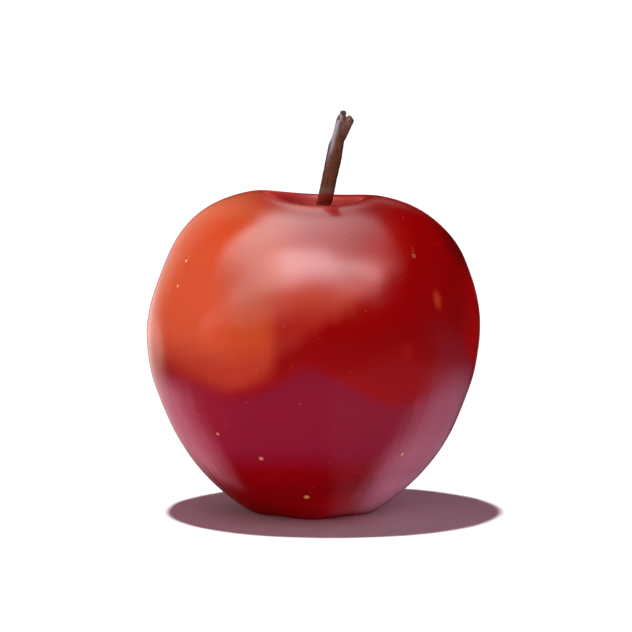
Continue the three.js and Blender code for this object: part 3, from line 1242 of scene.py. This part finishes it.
@dataclass(frozen=True)
class BarkFinish:
    """Dry bark: brown, greyer towards the tip, with a painted lilac highlight on its left side, painted
    shade down its right side, pale specks and dark broken ends.
    """

    brown: Colour = screen(82, 42, 14)
    warm: Colour = screen(84, 43, 20)
    grey: Colour = screen(98, 68, 58)
    # lilac-grey for the painted highlight on the left side and for the pale specks
    scurf_and_highlight: Colour = screen(172, 170, 184)
    dark: Colour = screen(34, 18, 12)
    foot: Colour = screen(176, 168, 150)
    pith: Colour = screen(46, 34, 30)
    root: Colour = screen(116, 24, 16)
    roughness: float = 0.7
    brown_from: tuple[float, float] = (74.0, 80.0)  # heights where it begins and where it is full
    grey_from: tuple[float, float] = (84.0, 89.0)
    root_below: tuple[float, float] = (73.2, 72.4)

    def material(self) -> bpy.types.Material:
        """Builds the bark's material.

        Returns:
            The material, which reads Object coordinates and where a point stands on its limb.
        """
        material, graph = new_material("bark")
        where = graph.place()
        x, _, z = graph.parts(where)
        side, _, _ = graph.parts(graph.out(graph.attribute("across"), "Vector"))
        broken = graph.term(graph.attribute("broken"), "Fac")
        fibre = graph.noise(graph.vector("MULTIPLY", where, (3.2, 3.2, 0.5)), 1.0, 4.0, 0.6) - 0.5
        cloud = graph.noise(where, 0.35, 3.0) - 0.5
        speck = graph.noise(where, 2.6, 2.0).smooth(0.62, 0.7)
        colour = graph.mix((z + cloud * 12).smooth(*self.brown_from), self.warm, self.brown)
        colour = graph.mix((z + cloud * 8).smooth(*self.grey_from), colour, self.grey)
        colour = graph.mix((fibre * 3 + 0.25).smooth(0.0, 1.0) * 0.75, colour, self.dark)
        # painted highlight: a lilac-grey sheen down the left side
        sheen = (side + cloud * 0.6 - z.smooth(80, 90) * 0.15).hump(-0.8, 0.32) * z.smooth(77, 86)
        colour = graph.mix(sheen * x.smooth(7.2, 6.2) * 0.65, colour, self.scurf_and_highlight)
        # painted shade: darker down the right side
        shaded_right_edge = (side + cloud * 0.2).smooth(0.55, 0.95) * (z.smooth(87, 84) * 0.6 + 0.2)
        colour = graph.mix(shaded_right_edge, colour, self.dark)
        # darker along a thin line down the left edge
        left_edge_line = (side + cloud * 0.2).smooth(-0.72, -0.9) * z.hump(80.5, 5) * 0.9
        colour = graph.mix(left_edge_line, colour, self.dark)
        colour = graph.mix((z + cloud * 2).smooth(75.0, 73.4) * 0.1, colour, self.foot)
        colour = graph.mix((z + cloud).smooth(*self.root_below), colour, self.root)
        colour = graph.mix(speck * 0.12, colour, self.scurf_and_highlight)
        colour = graph.mix(broken, colour, self.pith)
        height = fibre * 0.8 + graph.noise(where, 4.0, 3.0) * 0.3
        rough = self.roughness + fibre * 0.3
        return dress(material, graph, colour, rough, height, strength=0.5, depth=0.0003, IOR=1.35)


@dataclass(frozen=True)
class SepalFinish:
    """Dried sepals: brittle brown leaf with darker veins and edges, grey with down."""

    leaf: Colour = screen(122, 92, 58)
    vein: Colour = screen(74, 50, 30)
    down: Colour = screen(176, 164, 138)
    char: Colour = screen(38, 26, 18)
    roughness: float = 0.8

    def material(self) -> bpy.types.Material:
        """Builds the sepals' material.

        Returns:
            The material, which follows each sepal from root to tip.
        """
        material, graph = new_material("dried sepal")
        where = graph.place()
        along, across, _ = graph.parts(graph.out(graph.attribute("leaf"), "Vector"))
        cloud = graph.noise(where, 0.9, 3.0) - 0.5
        vein = abs((across * 5 + along * 3 + cloud * 2).sin()).smooth(0.35, 0.0)
        colour = graph.mix((along + cloud).smooth(0.2, 1.0) * 0.7, self.leaf, self.vein)
        colour = graph.mix(vein * 0.6, colour, self.vein)
        colour = graph.mix((abs(across) + cloud * 0.3).smooth(0.75, 1.0) * 0.7, colour, self.char)
        colour = graph.mix(graph.noise(where, 5.0, 2.0).smooth(0.5, 0.7) * 0.6, colour, self.down)
        height = graph.noise(where, 6.0, 4.0, 0.6) + vein * -0.4
        rough = self.roughness + cloud * 0.2
        return dress(material, graph, colour, rough, height, strength=0.6, depth=0.0002)


@dataclass(frozen=True)
class StamenFinish:
    """Withered stamens: dark brown threads under rust-coloured anthers."""

    thread: Colour = screen(96, 66, 42)
    anther: Colour = screen(58, 36, 22)
    dust: Colour = screen(150, 112, 70)
    roughness: float = 0.75

    def material(self) -> bpy.types.Material:
        """Builds the stamens' material.

        Returns:
            The material, which reads Object coordinates.
        """
        material, graph = new_material("withered stamen")
        where = graph.place()
        _, _, z = graph.parts(where)
        cloud = graph.noise(where, 1.6, 3.0)
        colour = graph.mix((z + cloud).smooth(5.6, 4.8), self.thread, self.anther)
        colour = graph.mix(graph.noise(where, 7.0, 2.0).smooth(0.52, 0.66) * 0.6, colour, self.dust)
        height = graph.noise(where, 9.0, 3.0)
        rough = self.roughness + cloud * 0.15
        return dress(material, graph, colour, rough, height, strength=0.6, depth=0.0002)


@dataclass
class Stem:
    """The woody stem: a main limb, a side prong and the scar of a third one, melted into one."""

    route: tuple[Place, ...] = (
        (0.5, 0.0, 57.6), (0.8, 0.0, 62.0), (1.75, 0.0, 67.5), (3.2, 0.1, 73.8),
        (4.5, 0.2, 79.6), (5.15, 0.2, 82.6), (5.6, 0.1, 84.6), (6.1, 0.0, 86.4),
        (6.35, 0.0, 87.8), (6.5, -0.1, 89.1), (6.6, -0.1, 89.9), (6.6, -0.1, 90.4),
    )
    radii: tuple[float, ...] = (1.8, 1.74, 1.76, 1.8, 1.84, 1.82, 1.58, 1.5, 1.4, 1.25, 0.95, 0.4)
    prong_route: tuple[Place, ...] = (
        (5.6, 0.5, 83.8), (6.4, 0.2, 85.6), (7.25, 0.0, 87.2),
        (8.15, -0.1, 88.5), (8.7, -0.1, 89.2), (9.0, -0.1, 89.5),
    )
    prong_radii: tuple[float, ...] = (1.1, 1.4, 1.35, 1.15, 1.0, 0.6)
    scar_route: tuple[Place, ...] = (
        (6.6, -0.3, 89.5), (6.8, -0.5, 90.2), (6.9, -0.55, 90.7), (6.95, -0.6, 91.3),
    )
    scar_radii: tuple[float, ...] = (0.5, 0.75, 0.8, 0.4)
    broken_ends: tuple[Place, ...] = ((6.95, -1.1, 90.9), (9.5, -0.6, 89.6))
    voxel: float = 0.11
    softening: int = 7
    limb_sides: int = 28
    heart_step: float = 0.3  # between the points of a limb's heart
    ridges: float = 0.3
    knots: float = 0.35
    broken_reach: tuple[float, float] = (1.05, 0.75)  # where a broken end has faded, and where it is full
    broken_sink: float = 0.25

    def build(self, finish: BarkFinish) -> bpy.types.Object:
        """Melts the limbs together and raises the bark's ridges on them.

        Args:
            finish: The bark's finish.

        Returns:
            The stem as a piece.
        """
        tree = Growth("stem")
        limbs = tree.limbs(tree.host, self.limb_sides)
        skin = tree.fused(limbs, tree.size("Voxel", self.voxel), self.softening)
        curve = tree.node("GeometryNodeMeshToCurve", sockets={"Mesh": tree.host})
        sockets = {"Curve": curve, "Length": self.heart_step}
        fine = tree.node("GeometryNodeResampleCurve", {"mode": "LENGTH"}, sockets)
        heart = tree.node("GeometryNodeCurveToPoints", {"mode": "EVALUATED"}, {"Curve": fine})
        at_heart = tree.reader(tree.out(heart, "Points"))
        offset = tree.vector("SUBTRACT", tree.position(), at_heart(tree.position(), "FLOAT_VECTOR"))
        width = Term(tree, at_heart(tree.named("width")))
        x, y, _ = tree.parts(offset)
        _, _, z = tree.parts(tree.position())
        marked = tree.store(skin, "across", tree.point(x / width, y / width * -1, 0.0), "FLOAT_VECTOR")
        broken = None
        for place in self.broken_ends:
            near = tree.measure("DISTANCE", tree.position(), place).smooth(*self.broken_reach)
            broken = near if broken is None else broken.most(near)
        marked = tree.store(marked, "broken", broken)
        ridge = tree.noise(tree.point(x * 1.5, y * 1.5, z * 0.16), 1.0, 3.0) - 0.5
        knot = tree.noise(tree.scaled(tree.position(), 0.42), 1.0, 2.0) - 0.5
        lift = ridge * tree.size("Ridges", self.ridges) + knot * tree.size("Knots", self.knots)
        lift = lift - Term(tree, tree.named("broken")) * self.broken_sink
        raised = tree.vector("ADD", tree.position(), tree.scaled(tree.normal(), lift))
        bark = tree.smoothed(tree.moved(marked, raised))
        lines = [self.route, self.prong_route, self.scar_route]
        widths = [self.radii, self.prong_radii, self.scar_radii]
        mesh = tree.run(bark, line_mesh("stem limbs", lines, widths), finish.material())
        return add_piece("woody_stem", mesh, "stem")


@dataclass
class Calyx:
    """The dried calyx: a cup in the floor of the basin and five downy sepals that curl away from it."""

    cup: tuple[tuple[float, float], ...] = (
        (0.0, 8.3), (2.2, 8.3), (2.3, 7.6), (2.35, 6.6), (2.15, 6.1),
        (1.8, 6.05), (1.5, 6.5), (1.45, 7.1), (1.3, 7.3), (0.0, 7.35),
    )
    sepals: int = 5
    sepal_route: tuple[tuple[float, float], ...] = (
        (1.6, 6.9), (2.1, 5.2), (2.75, 3.9), (3.65, 2.9), (4.9, 2.6),
    )
    sepal_widths: tuple[float, ...] = (1.1, 1.35, 1.1, 0.65, 0.08)
    thickness: float = 0.14
    cup_faces: tuple[int, int] = (48, 60)  # round it and along it
    sepal_faces: tuple[int, int] = (28, 30)
    wobble: float = 0.2  # share by which the cup is out of round
    midrib: float = 0.12
    midrib_width: float = 0.16  # share of the sepal's half width
    ripple: float = 0.1
    cupping: float = 0.35
    drift: float = 0.9  # how far the whole ring is bent out of true
    hairs: float = 9.0  # on a square millimetre
    hair_foot: float = 0.022
    hair_length: float = 0.42
    hair_tilt: float = 0.7  # radians
    hair_stretch: tuple[float, float] = (0.5, 1.3)

    def build(self, finish: SepalFinish) -> bpy.types.Object:
        """Grows one sepal, sets five round the cup and covers them with down.

        Args:
            finish: The sepals' finish.

        Returns:
            The calyx as a piece.
        """
        tree = Growth("calyx")
        smooth = tree.curved(tree.host)
        cup_sheet, turn, share = tree.sheet(*self.cup_faces)
        radius, _, height = tree.parts(tree.out(tree.on_line(smooth, share, 0), "Position"))
        wobble = (tree.noise(tree.point(turn.cos(), turn.sin(), share * 3), 2.5, 2.0) - 0.5) * self.wobble
        place = tree.point(radius * turn.cos() * (1 + wobble), radius * turn.sin() * (1 + wobble), height)
        marked = tree.store(cup_sheet, "leaf", tree.point(share, 0.0, 0.0), "FLOAT_VECTOR")
        cup = tree.closed(tree.moved(marked, place))
        sepals = self.sepal_ring(tree, smooth)
        down = self.down(tree, sepals)
        host = line_mesh(
            "calyx lines",
            [[(r, 0.0, z) for r, z in line] for line in (self.cup, self.sepal_route)],
            [[0.0] * len(self.cup), self.sepal_widths],
        )
        mesh = tree.run(tree.join(cup, sepals, down), host, finish.material())
        return add_piece("dried_calyx", mesh, "calyx")

    def sepal_ring(self, tree: Growth, lines: bpy.types.Node) -> bpy.types.Node:
        """Rolls a sheet into one thin sepal with a midrib and cupped edges, and repeats it.

        Args:
            tree: The growth tree.
            lines: The curves, of which the second is the sepal's.

        Returns:
            The node that gives the ring of sepals.
        """
        sheet, turn, share = tree.sheet(*self.sepal_faces)
        sample = tree.on_line(lines, share, 1)
        width = tree.term(sample, "Value")
        side = turn.cos()
        ripple = (share * 15).sin() * side * side * self.ripple
        rib = side.hump(0.0, self.midrib_width) * self.midrib * (1 - share)
        cupped = side * side * width * self.cupping
        out = turn.sin() * self.thickness * (1.2 - share) + rib + ripple - cupped
        tangent_r, _, tangent_z = tree.parts(tree.out(sample, "Tangent"))
        radius, _, height = tree.parts(tree.out(sample, "Position"))
        place = tree.point(radius - tangent_z * out, width * side, height + tangent_r * out)
        marked = tree.store(sheet, "leaf", tree.point(share, side, 0.0), "FLOAT_VECTOR")
        sepal = tree.closed(tree.moved(marked, place))
        count = tree.ask("Sepals", Kind.COUNT, self.sepals)
        spots = tree.node("GeometryNodePoints", sockets={"Count": count})
        spin = (tree.index() + 0.5) / self.sepals * FULL_TURN - math.pi / 2
        angles = tree.point(tree.random(-0.08, 0.08, 1), tree.random(-0.06, 0.1, 2), spin)
        ring = tree.planted(spots, sepal, tree.rotation(angles))
        real = tree.node("GeometryNodeRealizeInstances", sockets={"Geometry": ring})
        sockets = {"Vector": tree.position(), "Scale": 0.5}
        cloud = tree.node("ShaderNodeTexNoise", {"noise_dimensions": "3D"}, sockets)
        bend = tree.vector("SUBTRACT", tree.out(cloud, "Color"), (0.5, 0.5, 0.5))
        return tree.moved(real, tree.vector("ADD", tree.position(), tree.scaled(bend, self.drift)))

    def down(self, tree: Growth, sepals: bpy.types.Node) -> bpy.types.Node:
        """Sets short stiff hairs on the sepals.

        Args:
            tree: The growth tree.
            sepals: The sepals.

        Returns:
            The node that gives the hairs.
        """
        scatter = tree.node(
            "GeometryNodeDistributePointsOnFaces",
            {"distribute_method": "RANDOM"},
            {"Mesh": sepals, "Density": tree.size("Hairs", self.hairs), "Seed": 4},
        )
        hair = tree.node(
            "GeometryNodeMeshCone",
            {"fill_type": "NGON"},
            {"Vertices": 3, "Radius Top": 0.0, "Radius Bottom": self.hair_foot, "Depth": self.hair_length},
        )
        tilts = [tree.random(-self.hair_tilt, self.hair_tilt, seed) for seed in (6, 7)]
        tilt = tree.rotation(tree.point(*tilts, 0.0))
        sockets = {"Rotation": tree.out(scatter, "Rotation"), "Rotate By": tilt}
        lean = tree.node("FunctionNodeRotateRotation", {"rotation_space": "LOCAL"}, sockets)
        lengths = tree.point(1.0, 1.0, tree.random(*self.hair_stretch, 8))
        hairs = tree.planted(tree.out(scatter, "Points"), hair, lean, lengths)
        return tree.node("GeometryNodeRealizeInstances", sockets={"Geometry": hairs})


@dataclass
class Stamens:
    """The withered stamens: threads with two-lobed anthers, spread like seeds over their pad."""

    count: int = 15
    pad: tuple[tuple[float, float], ...] = (
        (0.0, 7.0), (1.1, 7.0), (1.15, 6.5), (1.1, 6.0), (0.8, 5.85), (0.0, 5.95),
    )
    pad_radius: float = 0.95
    root: float = 6.2
    thread: tuple[Place, ...] = (
        (0.0, 0.0, 0.0), (0.02, 0.05, -0.8), (0.16, 0.0, -1.5), (0.3, -0.05, -2.0),
    )
    thread_widths: tuple[float, ...] = (0.16, 0.11, 0.09, 0.07)
    lobes: tuple[tuple[Place, ...], ...] = (
        ((0.28, 0.09, -1.75), (0.3, 0.13, -1.95), (0.33, 0.13, -2.2), (0.35, 0.09, -2.4)),
        ((0.28, -0.13, -1.75), (0.3, -0.17, -1.95), (0.33, -0.17, -2.2), (0.35, -0.13, -2.4)),
    )
    lobe_widths: tuple[float, ...] = (0.05, 0.15, 0.16, 0.06)
    thread_sides: int = 8
    pad_faces: tuple[int, int] = (32, 30)
    shorter: float = 0.3  # share of the length that the outermost ones lack
    lengths: tuple[float, float] = (0.88, 1.08)
    outward: float = 0.1  # radians by which the outermost ones lean out
    lumps: float = 0.25

    def build(self, finish: StamenFinish) -> bpy.types.Object:
        """Makes one stamen, spreads it over the pad and makes the pad.

        Args:
            finish: The stamens' finish.

        Returns:
            The stamens as a piece.
        """
        tree = Growth("stamens")
        stamen = tree.smoothed(tree.limbs(tree.host, self.thread_sides))
        count = tree.ask("Stamens", Kind.COUNT, self.count)
        spots = tree.node("GeometryNodePoints", sockets={"Count": count})
        share = ((tree.index() + 0.5) / self.count) ** 0.5
        turn = tree.index() * GOLDEN_TURN
        radius = share * self.pad_radius
        placed = tree.moved(spots, tree.point(radius * turn.cos(), radius * turn.sin(), self.root))
        length = (1 - share * self.shorter) * tree.random(*self.lengths, 9)
        tilt = tree.random(-0.12, 0.12, 13) - share * self.outward
        angles = tree.point(tree.random(-0.2, 0.2, 12), tilt, turn)
        tuft = tree.planted(placed, stamen, tree.rotation(angles), tree.point(1.0, 1.0, length))
        sheet, round_turn, along = tree.sheet(*self.pad_faces)
        section = line_mesh("pad line", [[(radius, 0.0, height) for radius, height in self.pad]])
        line = tree.node("GeometryNodeMeshToCurve", sockets={"Mesh": tree.second("Pad", section)})
        pad_radius, _, height = tree.parts(tree.out(tree.on_line(line, along), "Position"))
        around = tree.point(round_turn.cos(), round_turn.sin(), along * 4)
        lumps = (tree.noise(around, 3.0, 2.0) - 0.5) * self.lumps
        x, y = pad_radius * round_turn.cos(), pad_radius * round_turn.sin()
        place = tree.point(x, y, height + lumps * pad_radius)
        pad = tree.closed(tree.moved(sheet, place))
        widths = [self.thread_widths, *[self.lobe_widths] * len(self.lobes)]
        host = line_mesh("stamen lines", [self.thread, *self.lobes], widths)
        mesh = tree.run(tree.join(tuft, pad), host, finish.material())
        return add_piece("withered_stamens", mesh, "stamens")


@dataclass(frozen=True)
class FloorFinish:
    """A pale matt floor with hardly visible clouds."""

    pale: Colour = screen(243, 242, 243)
    paler: Colour = screen(250, 249, 250)
    clouds: float = 30.0  # in a metre

    def material(self) -> bpy.types.Material:
        """Builds the floor's material.

        Returns:
            The material, which reads Object coordinates.
        """
        material, graph = new_material("pale floor")
        where = graph.out(graph.node("ShaderNodeTexCoord"), "Object")
        colour = graph.mix(graph.noise(where, self.clouds, 3.0), self.pale, self.paler)
        shader = graph.node("ShaderNodeBsdfDiffuse", sockets={"Color": colour})
        graph.node("ShaderNodeOutputMaterial", sockets={"Surface": shader})
        return material


@dataclass
class Studio:
    """The pale floor, the soft lights, what glossy surfaces mirror, and the camera."""

    elevation: float = 7.0  # degrees
    lens: float = 300.0
    distance: float = 1.197  # metres from the camera to the point that it looks at
    aim: Place = (0.0006, 0.0, 0.0447)
    floor_radius: float = 5.0
    floor_sides: int = 64
    key_place: Place = (-0.11, 0.03, 1.0)
    key_power: float = 3.7
    key_width: float = 3.0  # degrees
    front_place: Place = (-0.35, -0.95, 0.035)
    front_size: tuple[float, float] = (0.9, 0.06)
    front_power: float = 5.2
    lit_point: Place = (0.0, 0.0, 0.04)
    dimness: Place = (0.19, 0.105, 0.14)  # the dim light from all round
    least_glow: float = 0.3  # its brightness where it is dimmest
    side_glow: float = 2.2  # what it gains at both sides
    right_glow: float = 1.2  # and on the right alone
    softbox_light: float = 10.0
    softbox_tint: Place = (1.0, 0.97, 0.98)
    strip_light: float = 12.0
    strip_sweep: float = 64.0  # degrees from the horizon in front, over the top
    strip_reach: float = 13.0
    haze_light: float = 1.8
    left_haze_light: float = 1.5
    lip_light: float = 1.3
    low_left_card: Place = (0.6, 0.38, 0.42)
    left_rear_card: Place = (0.95, 0.6, 0.4)
    narrow_rear_card: Place = (1.7, 1.3, 1.15)
    low_right_card: Place = (0.3, 0.2, 0.27)
    rear_card: Place = (0.4, 0.2, 0.18)
    darkest: Place = (0.004, 0.004, 0.004)
    clip: tuple[float, float] = (0.05, 20.0)  # nearest and farthest that the camera sees

    def build(self, finish: FloorFinish) -> None:
        """Builds the whole studio.

        Args:
            finish: The floor's finish.
        """
        self.add_floor(finish.material())
        self.add_lights()
        self.add_world()
        self.add_camera()
        bpy.context.scene.view_settings.view_transform = "Standard"

    def add_floor(self, material: bpy.types.Material) -> None:
        """Lays the floor.

        Args:
            material: The floor's material.
        """
        radius = self.floor_radius
        turns = [side / self.floor_sides * FULL_TURN for side in range(self.floor_sides)]
        ring = [(radius * math.cos(turn), radius * math.sin(turn), 0.0) for turn in turns]
        mesh = bpy.data.meshes.new("floor")
        mesh.from_pydata(ring, [], [list(range(self.floor_sides))])
        mesh.materials.append(material)
        floor = bpy.data.objects.new("floor", mesh)
        floor.visible_glossy = False
        bpy.context.scene.collection.objects.link(floor)

    def add_lights(self) -> None:
        """Hangs a key light overhead and a wide low one in front."""
        key = bpy.data.lights.new("key", "SUN")
        key.energy = self.key_power
        key.angle = math.radians(self.key_width)
        front = bpy.data.lights.new("front", "AREA")
        front.shape = "RECTANGLE"
        front.size, front.size_y = self.front_size
        front.energy = self.front_power
        for light, place in ((key, self.key_place), (front, self.front_place)):
            holder = bpy.data.objects.new(light.name, light)
            holder.location = place
            way = Vector(place) - Vector(self.lit_point)
            holder.rotation_euler = way.to_track_quat("Z", "Y").to_euler()
            holder.visible_glossy = False
            holder.visible_camera = False
            bpy.context.scene.collection.objects.link(holder)

    def overhead(self, x: Term, sweep: Term) -> Term:
        """Gives the white light from above: the softbox, its bright strip, and the hazes at its edges.

        Args:
            x: How far to the right is looked.
            sweep: Degrees from the horizon in front, over the top, to the horizon behind.

        Returns:
            How bright it is there.
        """
        past_strip = (sweep - self.strip_sweep).most(0)
        fade = 1 - past_strip * 0.0028
        right_edge = (x + (sweep - 85).most(0) * 0.006).smooth(0.88, -0.25)
        softbox = x.smooth(-0.95, -0.45) * right_edge * fade * self.softbox_light
        softbox = softbox * sweep.smooth(34, 62) * sweep.smooth(160, 112)
        left_edge = ((sweep - 96) * 0.026 - 0.78).least((sweep - 118) * 0.0105 - 0.26)
        softbox = softbox * x.smooth(left_edge - 0.06, left_edge + 0.06)
        softbox = softbox * (x + (sweep - 145) * 0.012 - 0.06).smooth(0.07, -0.07)
        strip = (sweep + x.smooth(0.0, 0.3) * 6).hump(self.strip_sweep, self.strip_reach)
        strip = strip * x.smooth(-0.5, -0.2) * (x - past_strip * 0.006).smooth(0.74, 0.6)
        strip = strip * (self.strip_light - x.smooth(0.05, 0.3) * 2.0)
        haze = sweep.smooth(14, 40) * sweep.smooth(66, 50) * x.smooth(0.55, 0.4) * self.haze_light
        left_haze = sweep.smooth(8, 30) * sweep.smooth(62, 48)
        left_haze = left_haze * x.smooth(-0.1, -0.5) * x.smooth(-0.92, -0.7)
        lip = sweep.smooth(134, 142) * sweep.smooth(156, 149)
        lip = lip * x.smooth(-0.05, 0.0) * x.smooth(0.1, 0.03)
        return softbox + strip + haze + left_haze * self.left_haze_light + lip * self.lip_light

    def cards(self, x: Term, y: Term, z: Term) -> list[tuple[Term, Place]]:
        """Gives the faint coloured cards that stand low round the apple.

        Args:
            x, y, z: The direction that is looked in.

        Returns:
            How much of each card is seen there, with its colour.
        """
        low = z - (y - 0.84) * 0.8
        low_left = x.smooth(-0.37, -0.45) * low.hump(-0.48, 0.1) * y.smooth(0.45, 0.6)
        left_rear = x.smooth(0.0, -0.35) * y.smooth(0.45, 0.75) * z.smooth(-0.02, 0.15)
        narrow_rear = x.smooth(-0.1, -0.3) * y.smooth(0.55, 0.72) * z.hump(-0.11, 0.17)
        low_right = x.smooth(0.12, 0.3) * z.smooth(-0.2, -0.35)
        rear = x.hump(0.08, 0.1) * y.smooth(0.86, 0.94) * z.hump(0.33, 0.12)
        return [
            (low_left, self.low_left_card),
            (left_rear, self.left_rear_card),
            (narrow_rear, self.narrow_rear_card),
            (low_right, self.low_right_card),
            (rear, self.rear_card),
        ]

    def mirrored(self, graph: Graph, way: bpy.types.NodeSocket) -> bpy.types.NodeSocket:
        """Gives what every glossy surface mirrors: the light overhead and the cards low down.

        Args:
            graph: The world's graph.
            way: The direction that is looked in.

        Returns:
            The light from there.
        """
        x, y, z = graph.parts(way)
        sweep = z.apply("ARCTAN2", z, y * -1) * (180 / math.pi)
        light = graph.scaled(self.softbox_tint, self.overhead(x, sweep))
        for share, colour in self.cards(x, y, z):
            light = graph.vector("ADD", light, graph.scaled(colour, share))
        return graph.vector("ADD", light, self.darkest)

    def add_world(self) -> None:
        """Sets what is mirrored, the dim light from all round, and the white that only the camera sees."""
        world = bpy.data.worlds.new("studio")
        world.use_nodes = True
        world.node_tree.nodes.clear()
        bpy.context.scene.world = world
        graph = Graph(world.node_tree)
        way = graph.out(graph.node("ShaderNodeTexCoord"), "Generated")
        path = graph.node("ShaderNodeLightPath")
        glossy = graph.node("ShaderNodeBackground", sockets={"Color": self.mirrored(graph, way)})
        x, _, z = graph.parts(way)
        glow = x * x * self.side_glow + self.least_glow + x.most(0) * (1 - abs(z)) * self.right_glow
        soft = graph.node("ShaderNodeBackground", sockets={"Color": graph.scaled(self.dimness, glow)})
        white = graph.node("ShaderNodeBackground", sockets={"Color": (1.0, 1.0, 1.0, 1.0)})
        in_gloss = graph.term(path, "Is Glossy Ray")
        in_camera = graph.term(path, "Is Camera Ray")
        lit = graph.node("ShaderNodeMixShader", sockets={0: in_gloss, 1: soft, 2: glossy})
        shown = graph.node("ShaderNodeMixShader", sockets={0: in_camera, 1: lit, 2: white})
        graph.node("ShaderNodeOutputWorld", sockets={"Surface": shown})

    def add_camera(self) -> None:
        """Sets the camera."""
        camera = bpy.data.cameras.new("camera")
        camera.lens = self.lens
        camera.clip_start, camera.clip_end = self.clip
        holder = bpy.data.objects.new("camera", camera)
        lift = math.radians(self.elevation)
        back = Vector((0, -math.cos(lift), math.sin(lift)))
        holder.location = Vector(self.aim) + back * self.distance
        holder.rotation_euler = back.to_track_quat("Z", "Y").to_euler()
        bpy.context.scene.collection.objects.link(holder)
        bpy.context.scene.camera = holder


def main() -> None:
    """Builds the apple piece by piece, then its studio."""
    logging.basicConfig(level=logging.INFO, format="%(name)s: %(message)s")
    for piece in (
        Fruit().build(SkinFinish()),
        Stem().build(BarkFinish()),
        Calyx().build(SepalFinish()),
        Stamens().build(StamenFinish()),
    ):
        log.info("%s has %d faces", piece.name, len(piece.data.polygons))
    Studio().build(FloorFinish())


if __name__ == "__main__":
    main()
